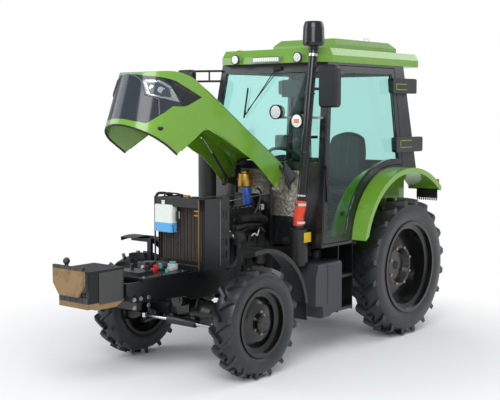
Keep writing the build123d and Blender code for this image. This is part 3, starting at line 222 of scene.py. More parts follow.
# ---- Front ballast ----
# Cast plate weights hung side by side on a carrier, behind a chamfered face plate. The castings are
# painted black, the face plate and the lower bar are in bare bronze-brown primer.
def plates_and_primer(name):
    """Chalky shop primer on the face plate and the lower bar, black paint on the cast plates, and painted
    shade in the narrow spaces between the plates.
    """
    look = Look(name)
    # darker where hands and straps have rubbed
    rubbed = look.mapped(look.noise(9, 7, 0.6), 0, 1, 0.5, 0.78)
    primer = look.mixed(rubbed, "#8f744e", "#5d4a31")
    # the face plate lies ahead of this y; the bar lies below the first height, both below the second
    place = look.axes(look.where)
    face = look.maths("LESS_THAN", place["Y"], -2.178)
    low = look.maths("LESS_THAN", place["Z"], 0.712)
    under = look.maths("LESS_THAN", place["Z"], 0.96)
    bare = look.maths("MULTIPLY", look.maths("MAXIMUM", face, low), under)
    # painted shade in the spaces between the plates, 66 mm apart
    rows = look.add("ShaderNodeTexWave", {"bands_direction": "X", "Scale": 4.76}, [(look.where, 0)])
    plate_gap_shade = look.mapped(rows.outputs["Fac"], 0, 1, 0.9, 1.0)
    return look.done({
        "Base Color": look.mixed(bare, look.mixed(plate_gap_shade, "#3b3d3f", "#0d0e0f"), primer),
        "Roughness": 0.62,
        "Normal": look.relief(look.noise(420, 2), 0.15, 0.0004),
    })


coat(plates_and_primer("primed_and_painted_plates"), "front_ballast")


# ---- Engine, gearbox and what is bolted to them ----
# Grey-iron castings bolted together and sprayed black at the works, with oil film and dust in the
# corners.
def painted_casting(name, colour="#1b1c1d", grime="#4b4740"):
    """Black paint over sand-cast iron: the mould's grain shows through, grime sits in patches."""
    look = Look(name)
    cloud = look.noise(14, 8, 0.7)
    return look.done({
        "Base Color": look.mixed(look.mapped(cloud, 0, 1, 0.52, 0.8), colour, grime),
        "Roughness": look.mapped(cloud, 0.38, 0.75),
        # sand grain of about 1.5 mm, drawn at 4 mm so that it shows
        "Normal": look.relief(look.pores(250), 0.3, 0.0006),
    })


coat(painted_casting("painted_cast_iron"), "engine", "engine_fittings", "transmission")


# ---- Radiator ----
# Brazed brass tubes and copper fins gone grey-brown, between black tanks, with a black shroud. The
# overflow bottle beside it is blown from milky plastic.
def radiator_core(name):
    """Upright fin rows about 20 mm apart, dusty copper brown, with near-black painted shade between the rows.
    """
    look = Look(name)
    rows = look.add("ShaderNodeTexWave",
                    {"bands_direction": "X", "Scale": 8, "Distortion": 0.6, "Detail": 2},
                    [(look.where, "Vector")])
    dusty = look.mixed(look.noise(12, 6), "#544c47", "#6e625a")
    # the darker bands are painted shade between the fin rows
    fins_and_gap_shade = look.mixed(rows.outputs["Fac"], dusty, "#3c3937")
    # the core lies between the tanks' heights and inside the cheeks
    place = look.axes(look.where)
    low = look.maths("GREATER_THAN", place["Z"], 0.89)
    high = look.maths("LESS_THAN", place["Z"], 1.315)
    inner = look.maths("LESS_THAN", look.maths("ABSOLUTE", place["X"]), 0.237)
    core = look.maths("MULTIPLY", look.maths("MULTIPLY", low, high), inner)
    return look.done({"Base Color": look.mixed(core, "#17191b", fins_and_gap_shade), "Roughness": 0.5, "Metallic": 0.35})


coat(radiator_core("brazed_radiator_core"), "radiator")
coat(black_paint("shroud_black_paint", "#1c2023", "#4a4c4c", 0.5), "radiator_shroud", "fan")


def plastic(name, colour, roughness=0.5, grain=1.6):
    """Injection-moulded plastic with a fine leathery grain, given in millimetres."""
    look = Look(name)
    return look.done({
        "Base Color": look.shaded(colour, look.noise(5, 4), 0.85, 1.2),
        "Roughness": roughness,
        "Normal": look.relief(look.pores(1000 / grain), 0.12, 0.0003),
    })


def bottle_plastic(name):
    """Milky polyethylene; blue coolant shows through the lower third."""
    look = Look(name)
    # the coolant stands at a height of 1196 mm
    level = look.mapped(look.axes(look.where)["Z"], 0, 1, 1.193, 1.199)
    return look.done({"Base Color": look.mixed(level, "#5fb0ea", "#e9efe9"), "Roughness": 0.35,
                      "Subsurface Weight": 0.15})


coat(bottle_plastic("coolant_bottle_plastic"), "coolant_bottle")


# ---- Air cleaner, snorkel, silencer and tank ----
# Black canister on the cab's front corner, a red silicone elbow, and a glossy snorkel with its
# precleaner; on the other side the silencer. The fuel tank is rotation-moulded and left grey.
coat(plastic("cleaner_black_plastic", "#1b1b1c", 0.38), "air_cleaner")
coat(plastic("snorkel_black_plastic", "#16191b", 0.16, 3), "intake_stack")
coat(plastic("silicone_elbow_red", "#d8401f", 0.42, 2), "intake_elbow")
coat(black_paint("silencer_heat_paint", "#2d2e2f", "#5b5651", 0.55), "muffler")
coat(plastic("tank_grey_plastic", "#33393f", 0.45, 2.5), "fuel_tank")


# ---- Wheels ----
# Cleated tyres on deep-dished steel rims. The rubber is dusty in the gaps between the lugs, with
# moulded rings on the side wall.
def tyre_rubber(name, axle_y, tip):
    """Carbon-black rubber round an axle at height tip, paler where dust has stayed."""
    look = Look(name)
    centred = look.add("ShaderNodeVectorMath", {"operation": "SUBTRACT", 1: (0, axle_y, tip)},
                       [(look.where, 0)])
    flat = look.add("ShaderNodeVectorMath", {"operation": "MULTIPLY", 1: (0, 1, 1)},
                    [(centred.outputs[0], 0)])
    reach = look.add("ShaderNodeVectorMath", {"operation": "LENGTH"}, [(flat.outputs[0], 0)]).outputs["Value"]
    gap = look.mapped(reach, 0.25, 0.75, tip - 0.004, tip - 0.05)
    dusty = look.maths("MULTIPLY", gap, look.noise(10, 8, 0.7))
    # rings 9 mm apart, on the side wall only
    rings = look.maths("SINE", look.maths("MULTIPLY", reach, 2 * pi / 0.009))
    ridge = look.maths("MULTIPLY", rings, look.mapped(reach, 0, 1, tip - 0.105, tip - 0.125))
    return look.done({
        "Base Color": look.mixed(dusty, "#121517", "#3a4043"),
        "Roughness": 0.34,
        "Normal": look.relief(look.maths("ADD", ridge, look.noise(300, 3)), 0.35, 0.0009),
    })


# y and height of the axles in metres; the tyres' tips reach the ground
AXLES = {"rear": (1.252, 0.645), "front": (-0.862, 0.446)}
SIDES = (("left", 1), ("right", -1))
rim_black = black_paint("rim_black_gloss", "#08090a", "#2a2927", 0.18)
for end, (axle_y, tip) in AXLES.items():
    tread = tyre_rubber(f"{end}_tyre_rubber", axle_y, tip)
    for side, s in SIDES:
        coat(tread, f"{end}_tyre_{side}")
        coat(rim_black, f"{end}_rim_{side}")


# ---- Cab ----
# A welded frame of steel tube in satin black, tinted glass all round and a green moulded roof.
# Fenders and hood are pressed steel in the same green; trims, lamps and console are plastic.
def tinted_glass(name, colour="#cdeeea"):
    """Green heat-absorbing safety glass, clear enough to see the seat through."""
    look = Look(name)
    return look.done({
        "Base Color": hex_colour(colour),
        "Transmission Weight": 1.0,
        "IOR": 1.3,
        # rolled panes wave very slightly, over about 150 mm
        "Roughness": look.mapped(look.noise(6, 1), 0.0, 0.03),
    })


def enamel(name, colour, roughness=0.26):
    """Baked enamel on pressed steel: an even gloss with a soft orange peel and faint handling dust."""
    look = Look(name)
    cloud = look.noise(3, 5)
    return look.done({
        "Base Color": look.shaded(colour, cloud, 0.94, 1.06),
        "Roughness": look.mapped(cloud, roughness - 0.05, roughness + 0.1),
        "Coat Weight": 0.7,
        "Coat Roughness": 0.1,
        # waves of about 4 mm
        "Normal": look.relief(look.noise(250, 1), 0.05, 0.0004),
    })


cab_black = black_paint("cab_black_powder_coat", "#101315", "#2c2f31", 0.28)
coat(cab_black, "cab_frame", "door_frame_left", "door_frame_right")
coat(tinted_glass("tinted_safety_glass"), "windscreen", "rear_window", "door_glass_left", "door_glass_right")
green = enamel("green_body_enamel", "#6ea02a")
coat(green, "roof", "rear_fender_left", "rear_fender_right", "hood_panel")
coat(plastic("mask_grey_plastic", "#2b3138", 0.14, 3), "hood_mask")
coat(plastic("guard_black_plastic", "#15171a", 0.4), "front_fender_left", "front_fender_right",
     "mirrors", "steering_console", "seat_base")
coat(plastic("seat_vinyl_stand_in", "#22262a", 0.6), "seat_cushion", "seat_back")
coat(plastic("tail_lamp_red", "#a3140f", 0.15), "tail_lamps")
coat(plastic("lamp_clear_lens", "#8f979c", 0.1), "headlamps", "work_lamps")


# ---- Steering rod and gas strut ----
# Ground steel rods plated with hard chrome, held by pins in their eyes; the strut's barrel is
# painted black.
def metal(name, colour, roughness=0.25):
    """Plated or ground metal whose gloss varies a little in patches."""
    look = Look(name)
    return look.done({
        "Base Color": hex_colour(colour),
        "Metallic": 1,
        "Roughness": look.mapped(look.noise(60, 4), roughness * 0.7, roughness * 1.4),
    })


coat(metal("hard_chrome", "#c9ccce", 0.14), "steering_rod", "strut_rod")
coat(black_paint("strut_black", "#101113", "#3c3e3f", 0.3), "strut_barrel")


# ---- Wheel nuts and valves ----
# Zinc-plated studs and nuts, passivated yellow, pulled up on the discs: a hub ring and, at the rear,
# a second ring that holds the disc to the rim's lugs. A rubber valve sticks out of each rim.
def at(x, y, z):
    """Millimetres from the middle of the rear axle's shadow on the ground, as metres of the frame."""
    return Vector((x, y + 1252, z)) / 1000


def placed(point):
    """A point in metres of the frame: a Vector is in them already, a tuple is millimetres for at."""
    return point if isinstance(point, Vector) else at(*point)


def settled(name, material, body="chassis"):
    """Bakes the place of the piece just shaped into its mesh and gives it its finish and its body."""
    piece = bpy.context.object
    piece.name = name
    bpy.ops.object.transform_apply(location=True, rotation=True, scale=True)
    piece.data.materials.clear()
    piece.data.materials.append(material)
    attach(piece, body)
    return piece


@contextmanager
def editing():
    """Edit mode for the piece just made."""
    bpy.ops.object.mode_set(mode="EDIT")
    yield
    bpy.ops.object.mode_set(mode="OBJECT")


def pin(name, start, end, r, material, sides=24, round_by=0.0, body="chassis"):
    """A round or many-sided bar between two points, radius and rounding in millimetres."""
    a, b = placed(start), placed(end)
    way = b - a
    bpy.ops.mesh.primitive_cylinder_add(vertices=sides, radius=r / 1000, depth=way.length,
                                        location=(a + b) / 2, rotation=way.to_track_quat("Z", "Y").to_euler())
    if round_by:
        with editing():
            bpy.ops.mesh.bevel(offset=round_by / 1000, segments=2, affect="EDGES")
    if sides > 8:
        bpy.ops.object.shade_smooth_by_angle(angle=radians(40))
    return settled(name, material, body)


def post(name, x, y, low, high, r, material, sides=24, round_by=0.0):
    """An upright pin from one height to another."""
    return pin(name, (x, y, low), (x, y, high), r, material, sides, round_by)


def bar(name, start, end, material, round_by=3, body="chassis"):
    """A bar with rounded edges between two opposite corners."""
    low, high = placed(start), placed(end)
    bpy.ops.mesh.primitive_cube_add(size=1, location=(low + high) / 2)
    with editing():
        bpy.ops.transform.resize(value=[abs(v) for v in high - low])
        if round_by:
            bpy.ops.mesh.bevel(offset=round_by / 1000, segments=2, affect="EDGES")
    return settled(name, material, body)


def choose(*pieces):
    """Selects these pieces and no others, with the first one active."""
    bpy.ops.object.select_all(action="DESELECT")
    for piece in pieces:
        piece.select_set(True)
    bpy.context.view_layer.objects.active = pieces[0]


def joined(name, pieces):
    """Small fittings of one kind on one body, joined into one piece."""
    choose(*pieces)
    if len(pieces) > 1:
        bpy.ops.object.join()
    pieces[0].name = name
    return pieces[0]


nut_brass = metal("yellow_zinc_plate", "#cdb27c", 0.28)
valve_rubber = plastic("valve_rubber", "#0f1011", 0.6)
# end, track, axle's height and y, rim's lip, rings of (radius, face out from the track, nuts, nut size)
WHEELS = (
    ("rear", 676, 645, 0, 352, ((177, 20, 8, 13), (84, -72, 8, 12))),
    ("front", 653, 446, -2114, 198, ((88, 62, 6, 11),)),
)
for end, track, axle_z, axle_y, lip, rings in WHEELS:
    for side, s in SIDES:
        body = f"{end}_wheel_{side}"
        nuts = []
        for radius, face, count, size in rings:
            x = track + face
            for i in range(count):
                angle = 2 * pi * (i + 0.5) / count
                y, z = axle_y + radius * cos(angle), axle_z + radius * sin(angle)
                for reach, r, corners in ((9, size, 6), (17, 6, 10)):
                    nuts.append(pin("nut", (s * x, y, z), (s * (x + reach), y, z), r, nut_brass, corners,
                                    body=body))
        joined(f"{end}_wheel_nuts_{side}", nuts)
        pin(f"{end}_valve_{side}", (s * (track + 10), axle_y + lip * 0.7, axle_z + lip * 0.7),
            (s * (track + 52), axle_y + lip * 0.66, axle_z + lip * 0.66), 6, valve_rubber, 12, 1, body)


# ---- Hood fittings ----
# The nose carries a rubber seal round its lower edge, a latch, a black louvre panel beside each
# headlamp and a bright trim round the lamp. Thin mouldings are clipped flush on the skin.
HINGE_Y, HINGE_Z, OPEN = -1300, 1600, radians(33)


def opened(x, y, z):
    """A point of the shut hood, turned up about the hinge to where it lies open."""
    dy, dz = y - HINGE_Y, z - HINGE_Z
    return at(x, HINGE_Y + dy * cos(OPEN) + dz * sin(OPEN), HINGE_Z - dy * sin(OPEN) + dz * cos(OPEN))


def pipe(name, points, r, material, body="chassis", bend=True):
    """A tube of radius r millimetres along points, smooth between them or straight."""
    line = bpy.data.curves.new(name, "CURVE")
    line.dimensions = "3D"
    line.bevel_depth = r / 1000
    line.bevel_resolution = 3
    line.use_fill_caps = True
    line.resolution_u = 8
    spline = line.splines.new("BEZIER")
    spline.bezier_points.add(len(points) - 1)
    for knot, point in zip(spline.bezier_points, points):
        knot.co = placed(point)
        knot.handle_left_type = knot.handle_right_type = "AUTO" if bend else "VECTOR"
    piece = bpy.data.objects.new(name, line)
    bpy.context.collection.objects.link(piece)
    choose(piece)
    bpy.ops.object.convert(target="MESH")
    bpy.ops.object.shade_smooth()
    return settled(name, material, body)


def cut_sheet(outline, per_metre, cells, size, middle):
    """A flat grid cut to a convex outline; size and middle in metres, outline so many to the metre."""
    bpy.ops.mesh.primitive_grid_add(x_subdivisions=cells[0], y_subdivisions=cells[1], size=1)
    with editing():
        bpy.ops.transform.resize(value=(*size, 1))
        bpy.ops.transform.translate(value=(*middle, 0))
        edges = list(zip(outline, outline[1:] + outline[:1]))
        turning = sum(a[0] * b[1] - b[0] * a[1] for a, b in edges)
        for a, b in edges:
            out = Vector((b[1] - a[1], a[0] - b[0], 0)) * (1 if turning > 0 else -1)
            bpy.ops.mesh.select_all(action="SELECT")
            bpy.ops.mesh.bisect(plane_co=(a[0] / per_metre, a[1] / per_metre, 0), plane_no=out,
                                clear_outer=True)
    return bpy.context.object


def patch(name, outline, s, target, lift, wall, material):
    """A thin moulding on the hood's side s: its outline is (y, z) of the shut hood, its target a node."""
    y_way = Vector((0, cos(OPEN), -sin(OPEN))) * s
    z_way = Vector((0, sin(OPEN), cos(OPEN)))
    turn = Matrix((y_way, z_way, y_way.cross(z_way))).transposed().to_4x4()
    flat = [(s * (y - HINGE_Y) / 1000, (z - HINGE_Z) / 1000) for y, z in outline]
    xs, ys = [p[0] for p in flat], [p[1] for p in flat]
    wide, high = max(xs) - min(xs), max(ys) - min(ys)
    cells = max(6, min(48, int(max(wide, high) / 0.008)))
    piece = cut_sheet(flat, 1, (cells, cells), (wide * 1.02, high * 1.02),
                      ((max(xs) + min(xs)) / 2, (max(ys) + min(ys)) / 2))
    piece.matrix_world = Matrix.Translation(at(s * 480, HINGE_Y, HINGE_Z)) @ turn
    wrap = piece.modifiers.new("lay", "SHRINKWRAP")
    wrap.wrap_method, wrap.wrap_mode, wrap.target = "PROJECT", "ABOVE_SURFACE", NODES[target]
    wrap.use_project_z, wrap.use_negative_direction, wrap.use_positive_direction = True, True, False
    wrap.offset = lift / 1000
    skin = piece.modifiers.new("wall", "SOLIDIFY")
    skin.thickness, skin.offset = wall / 1000, 1
    bpy.ops.object.modifier_apply(modifier="lay")
    # what found no skin under it is left out
    for vertex in piece.data.vertices:
        vertex.select = abs(vertex.co.z) < 1e-6
    with editing():
        bpy.ops.mesh.select_mode(type="VERT")
        bpy.ops.mesh.delete(type="VERT")
    bpy.ops.object.modifier_apply(modifier="wall")
    bpy.ops.object.shade_smooth_by_angle(angle=radians(30))
    return settled(name, material, "hood")


def moved(piece, place):
    """Takes a piece made at the origin to its place and bakes that into its mesh."""
    choose(piece)
    piece.matrix_world = place
    bpy.ops.object.transform_apply(location=True, rotation=True, scale=True)


rubber = plastic("seal_rubber", "#131415", 0.55)
louvre_black_and_slot_shade = plastic("louvre_plastic_and_slot_shade_black", "#0d0e10", 0.3, 2)
trim_silver = metal("brushed_trim", "#c3c8c8", 0.22)
# grey housing plastic, dark enough to paint the shade inside the lamps' recess
lamp_recess_shade = plastic("lamp_housing_with_recess_shade", "#3a4650", 0.1, 4)
# aluminised bowl behind clear glass
lamp_bowl = Look("lamp_reflector").done({"Base Color": hex_colour("#cfd9dd"), "Metallic": 0.85,
                                         "Roughness": 0.12})

HALF_NOSE = 286
edge = [opened(HALF_NOSE, -2484, 1036), opened(HALF_NOSE, -2640, 1036)]
for i in range(1, 18):
    angle = pi * i / 18
    edge.append(opened(HALF_NOSE * cos(angle), -2620 - 282 * sin(angle), 1034))
edge += [opened(-HALF_NOSE, -2640, 1036), opened(-HALF_NOSE, -2484, 1036)]
pipe("nose_seal", edge, 8.5, rubber, "hood")

# outlines as (y, z) of the shut hood, in convex parts
VENT = ([(-2882, 1470), (-2763, 1513), (-2630, 1541), (-2640, 1408), (-2789, 1452)],
        [(-2630, 1541), (-2460, 1574), (-2562, 1434), (-2612, 1396), (-2640, 1408)])
TRIM = ([(-2964, 1394), (-2886, 1445), (-2880, 1431), (-2946, 1388)],
        [(-2886, 1445), (-2790, 1447), (-2798, 1430), (-2880, 1431)],
        [(-2790, 1447), (-2648, 1402), (-2738, 1382), (-2798, 1430)],
        [(-2830, 1324), (-2757, 1354), (-2760, 1363), (-2834, 1334)],
        [(-2757, 1354), (-2657, 1399), (-2666, 1403), (-2760, 1363)],
        [(-2907, 1304), (-2832, 1325), (-2836, 1335), (-2898, 1317)],
        [(-2962, 1393), (-2945, 1387), (-2897, 1316), (-2906, 1305)])
# the recess is a dark sheet whose colour is painted shade
RECESS = ([(-2944, 1384), (-2882, 1427), (-2802, 1426), (-2748, 1380), (-2828, 1336), (-2905, 1312)],)
FLANGE = ((284, -2455, 1090), (276, -2380, 1232), (266, -2276, 1396), (273, -2154, 1429), (275, -2045, 1446),
          (277, -1811, 1461))
for side, s in SIDES:
    for name, parts, target, wall, material in (
        ("louvre_panel", VENT, "hood_mask", 2.5, louvre_black_and_slot_shade),
        ("lamp_recess", RECESS, "headlamps", 1, lamp_recess_shade),
        ("lamp_trim", TRIM, "headlamps", 4, trim_silver),
    ):
        joined(f"{name}_{side}", [patch(name, part, s, target, 0.3, wall, material) for part in parts])
    dots = []
    for i in range(15):
        y, z = -2775 + 17 * i, 1484 + 4.1 * i
        dot = [(y - 5, z - 6), (y + 5, z - 4), (y + 3, z + 7), (y - 7, z + 5)]
        dots.append(patch("mesh_dot", dot, s, "hood_mask", 2.8, 0.8, trim_silver))
    joined(f"louvre_mesh_{side}", dots)

rib = [(262, -2783, 1200), (246, -2838, 1306), (174, -2920, 1296), (128, -2974, 1388), (72, -3002, 1414),
       (0, -3010, 1420)]
rib += [(-x, y, z) for x, y, z in rib[-2::-1]]
pipe("mask_rib", [opened(*p) for p in rib], 5, plastic("mask_rib_grey", "#5c656c", 0.25, 3), "hood",
     bend=False)
for side, s in SIDES:
    pipe(f"arch_flange_{side}", [opened(s * x, y, z) for x, y, z in FLANGE], 6, green, "hood")
for side, s in SIDES:
    bowls = []
    for y, z, r in ((-2846, 1380, 24), (-2900, 1366, 15)):
        ring = [(y + r * cos(2 * pi * i / 14), z + r * sin(2 * pi * i / 14)) for i in range(14)]
        bowls.append(patch("bowl", ring, s, "headlamps", 1.2, 6, lamp_bowl))
    joined(f"headlamp_bowls_{side}", bowls)

grip = bar("grip", Vector((-0.023, -0.008, -0.006)), Vector((0.023, 0.008, 0.010)), rubber, body="hood")
foot = bar("foot", Vector((-0.012, -0.012, -0.012)), Vector((0.012, 0.012, 0.0)), rubber, body="hood")
turn = Matrix.Rotation(radians(90), 4, "Z") @ Matrix.Rotation(radians(12), 4, "X")
moved(joined("hood_latch_left", [grip, foot]), Matrix.Translation(opened(282, -2735, 1112)) @ turn)


# ---- Radiator and cooling ----
# Black frame bars round the core, a brass cap, moulded hoses with steel clamps, two stay rods to the
# cowl, and the shroud's slotted side, its slots as black patches of painted shade.
frame_black = black_paint("radiator_frame_black", "#131517", "#3a3a38", 0.35)
brass = metal("brass", "#b08a4a", 0.35)
rod_steel = metal("bare_rod_steel", "#a8a49a", 0.4)
hose_grey = plastic("coolant_hose_rubber", "#2b2f33", 0.5)
CORE_Y = -2305
bars = [bar("tank", (-252, CORE_Y - 6, low), (252, CORE_Y, high), frame_black, 4)
        for low, high in ((1330, 1407), (822, 872))]
bars += [bar("cheek", (x, CORE_Y - 9, 822), (x + 14, CORE_Y, 1407), frame_black, 2) for x in (-252, 238)]
joined("radiator_frame", bars)
post("radiator_cap", 70, -2262, 1402, 1424, 30, brass, 24, 3)
post("radiator_cap_boss", 150, -2258, 1400, 1418, 34, frame_black, 24, 4)
joined("radiator_tabs", [bar("tab", (196, -2314, z), (240, -2306, z + 12), brass, 1) for z in (1268, 1302)])
bar("radiator_edge", (243, -2316, 840), (249, -2309, 1395), brass, 1)
pin("stay_rod_right", (-60, -2200, 1380), (-60, -1352, 1372), 5, rod_steel, 12)
pin("stay_rod_left", (196, -2196, 1342), (196, -1349, 1392), 5, rod_steel, 12)
pipe("lower_hose", [
    (236, -1950, 1080), (230, -1880, 1066), (225, -1812, 1000), (225, -1800, 900),
    (228, -1860, 830), (236, -1950, 812)], 22, hose_grey)
pipe("heater_hose", [
    (200, -1958, 1140), (200, -1880, 1100), (196, -1760, 1085), (190, -1640, 1112),
    (186, -1500, 1108), (180, -1400, 1060)], 13, hose_grey)
pipe("drain_tube", [
    (198, -1600, 1042), (206, -1565, 1060), (206, -1535, 1040), (200, -1512, 1062),
    (200, -1500, 1085)], 5, plastic("clear_drain_tube", "#d9dbd6", 0.35))
# black patches on the shroud's side paint the shade inside its slots
joined("shroud_slot_shade", [
    bar("slot", (262, y, z), (264.4, y + 9, z + 48), louvre_black_and_slot_shade, 0.8)
    for z in (1100, 1010, 920) for y in (-2040, -2016, -1992)])
bar("shroud_seam", (262, -2078, 850), (266, -2073, 1380), rod_steel, 0.8)
pipe("bottle_wire", [
    (-40, -2318, 1180), (-10, -2330, 1120), (20, -2326, 1064), (46, -2322, 1010),
    (70, -2322, 1040), (52, -2324, 1096), (8, -2322, 1150)], 2.5, rubber)
pipe("bottle_hose", [
    (-150, -2290, 1374), (-150, -2290, 1420), (-60, -2280, 1436), (30, -2266, 1424),
    (62, -2262, 1412)], 6, rubber)
pipe("top_hose", [(-246, -2276, 1330), (-240, -2292, 1416), (-190, -2280, 1432), (-120, -2230, 1412)], 12,
     rubber)
bar("bottle_bracket", (-2, -2322, 1210), (22, -2308, 1300), frame_black, 2)


# ---- Engine bay ----
# What shows under the open hood: intake and exhaust manifolds on the left of the head, a filter can
# in yellow passivate with its blue bowl, small relay boxes, and foil-faced felt on the cab's wall.
pipe("intake_manifold", [(196, -1760, 1196), (200, -1700, 1200), (200, -1480, 1186), (190, -1410, 1160)], 36,
     painted_casting("manifold_black_iron", "#141516", "#33312e"))
pipe("exhaust_branch", [(188, -1800, 1118), (202, -1740, 1138), (202, -1560, 1132), (188, -1480, 1128)], 22,
     painted_casting("branch_black_iron", "#18191a", "#3d3a35"))
can_gold = metal("yellow_passivated_can", "#c39a4e", 0.34)
CAN_X, CAN_Y = -29, -1412
joined("filter_can", [
    post("can_body", CAN_X, CAN_Y, 1444, 1560, 66, can_gold, 40, 8),
    post("can_waist", CAN_X, CAN_Y, 1494, 1504, 70, can_gold, 40, 2),
    post("can_neck", CAN_X, CAN_Y, 1558, 1578, 34, can_gold, 24, 3),
    bar("can_ear", (-112, -1424, 1500), (-90, -1400, 1520), can_gold, 2)])
post("can_lid", CAN_X, CAN_Y, 1577, 1588, 42, frame_black, 24, 3)
pin("filter_bowl", (2, CAN_Y, 1262), (-14, CAN_Y, 1440), 40,
    plastic("filter_blue_enamel", "#1f4fa8", 0.25), 32, 8)
grey_box = plastic("relay_grey_plastic", "#b9bcb8", 0.45)
joined("relay_boxes", [
    bar("relay", (100, -1400, 1246), (150, -1366, 1296), grey_box, 4),
    bar("fuse_box", (190, -1330, 1418), (262, -1296, 1446), grey_box, 4)])

foil = Look("foil_faced_felt")
foil_felt = foil.done({
    "Base Color": foil.mixed(foil.noise(30, 6), "#3c3833", "#cfc8ba"),
    "Metallic": 0.75,
    "Roughness": 0.36,
    # crumples of about 20 mm
    "Normal": foil.relief(foil.pores(46), 0.9, 0.004),
})
felt = bar("bulkhead_felt", Vector((-0.26, -0.004, -0.2)), Vector((0.47, 0.004, 0.2)), foil_felt, 2)
# the cab's wall leans back by 0.16 radians
moved(felt, Matrix.Translation(at(0, -1242, 1390)) @ Matrix.Rotation(-0.1603, 4, "X"))


# ---- Cowl seal ----
# A rubber arch that the hood's rear edge shuts on, and grey plates between it and the cab. Small
# hoses, leads and bolts finish the back of the engine.
arch = [(-383, 1434), (-356, 1500), (-322, 1563), (-272, 1612), (-216, 1647), (-148, 1672), (-76, 1687),
        (0, 1691)]
arch += [(-x, z) for x, z in arch[-2::-1]]
pipe("cowl_seal", [(x, -1306 + (z - 1434) * 0.05, z) for x, z in arch], 13, rubber)
plate_grey = plastic("cowl_plate_grey", "#4b5055", 0.45)
PLATE = [(292, 1654), (345, 1640), (412, 1555), (385, 1460), (336, 1423)]
for side, s in SIDES:
    plate = cut_sheet(PLATE, 1000, (6, 10), (0.14, 0.26), (0.352, 1.539))
    wall = plate.modifiers.new("wall", "SOLIDIFY")
    wall.thickness, wall.offset = 0.004, 0
    bpy.ops.object.modifier_apply(modifier="wall")
    plate.matrix_world = Matrix(((s, 0, 0, 0), (0, 0, -s, at(0, -1250, 0).y), (0, 1, 0, 0), (0, 0, 0, 1)))
    settled(f"cowl_plate_{side}", plate_grey)
joined("filter_bracket", [
    bar("upright", (-48, -1356, 1330), (-12, -1350, 1500), frame_black, 1),
    bar("shelf", (-48, -1404, 1488), (-12, -1350, 1496), frame_black, 1)])
for i, (x0, z0, x1, z1) in enumerate(((80, 1300, 150, 1180), (110, 1320, 170, 1210), (40, 1300, 60, 1190))):
    pipe(f"engine_wire_{i}", [(x0, -1352, z0), (x0 + 30, -1400, (z0 + z1) / 2 + 20), (x1, -1460, z1)], 6,
         rubber)
pipe("return_hose", [(60, -1352, 1430), (120, -1380, 1400), (150, -1440, 1300), (150, -1500, 1220)], 10,
     hose_grey)
joined("head_bolts", [
    post("bolt", x, y, z, z + 9, 9, rod_steel, 6)
    for y in range(-1830, -1420, 58) for x, z in ((104, 1180), (44, 1270), (-44, 1270))])
clamps = []
for x, y, z, way, r in ((232, -1905, 1072, (0, 1, 0), 24), (225, -1800, 905, (0, 0, 1), 24),
                        (200, -1900, 1110, (0, 1, -0.5), 15), (184, -1440, 1086, (0, 1, -0.6), 15)):
    half = Vector(way).normalized() * 0.006
    clamps.append(pin("clamp", at(x, y, z) - half, at(x, y, z) + half, r, trim_silver, 28))
joined("hose_clamps", clamps)
pipe("red_lead", [(120, -1360, 1240), (150, -1430, 1232), (186, -1470, 1160), (206, -1500, 1090)], 4,
     plastic("red_wire_plastic", "#b3241c", 0.4))
pipe("black_lead", [(60, -1360, 1280), (96, -1460, 1300), (100, -1600, 1290), (90, -1760, 1286)], 7, rubber)


# ---- Front ballast fittings ----
# The plates' sides are painted a greyer black; hex bolts on washers hold the carrier to the frame's
# nose.
weight_black = black_paint("weight_black_paint", "#3a3b3a", "#6f7174", 0.5)
ball_steel = metal("ball_steel", "#b7b9ba", 0.2)
for side, s in SIDES:
    bar(f"ballast_side_{side}", (s * 166, -3300, 700), (s * 169, -3062, 932), weight_black, 1.2)
joined("front_frame_bolts", [
    pin("bolt", (s * low, y, z), (s * high, y, z), r, ball_steel, corners)
    for side, s in SIDES
    for y, z in ((-3010, 700), (-2940, 700), (-2860, 700), (-3010, 640), (-2860, 640))
    for low, high, r, corners in ((230, 241, 12, 6), (229.8, 232, 17, 20))])


# ---- Front tray ----
# The pressed tray in front of the radiator carries a relay block, a wire loom, capped fittings and
# the fixings of the nose; nothing on it is bigger than a fist.
red_cap = plastic("red_cap_plastic", "#b5271b", 0.35)
teal_plug = plastic("teal_plug_plastic", "#4fa3a0", 0.4)
TRAY_Z = 838
joined("tray_relays", [
    bar("relay", (-120, -2600, 840), (-70, -2556, 876), grey_box, 4),
    bar("relay", (60, -2490, 840), (112, -2456, 866), grey_box, 4)])
joined("tray_red_caps", [
    post("cap", x, y, TRAY_Z, TRAY_Z + high, r, red_cap, 18, 2)
    for x, y, r, high in ((10, -2560, 24, 52), (60, -2640, 20, 40), (-40, -2800, 14, 26))])
joined("tray_plugs", [
    post("plug", x, y, TRAY_Z, TRAY_Z + high, r, teal_plug, 14, 2)
    for x, y, r, high in ((-60, -2440, 18, 44), (130, -2560, 14, 30))])
pipe("tray_loom", [
    (-180, -2860, 846), (-160, -2740, 850), (-60, -2680, 848), (10, -2600, 852),
    (40, -2500, 850), (30, -2420, 862), (20, -2330, 900)], 8, rubber)
pipe("tray_loom_branch", [(-60, -2680, 848), (-90, -2600, 856), (-94, -2560, 872)], 5, rubber)
joined("washer_pump", [
    post("pump", 60, -2420, 840, 888, 42, grey_box, 32, 6),
    post("pump_top", 60, -2420, 886, 906, 27, teal_plug, 24, 4)])
boxes = [bar("box", (-200, -2560 + 78 * i, TRAY_Z), (-128, -2494 + 78 * i, 896 - 8 * i), frame_black, 6)
         for i in range(2)]
boxes += [post("box_cap", -164, -2545 + 34 * i, 890, 902, 12, rubber, 14, 2) for i in range(2)]
joined("tray_black_boxes", boxes)
joined("tray_bolts", [
    post("bolt", x, y, 840, 849, 10, ball_steel, 6)
    for x in (-180, 180) for y in (-2860, -2640, -2430)])


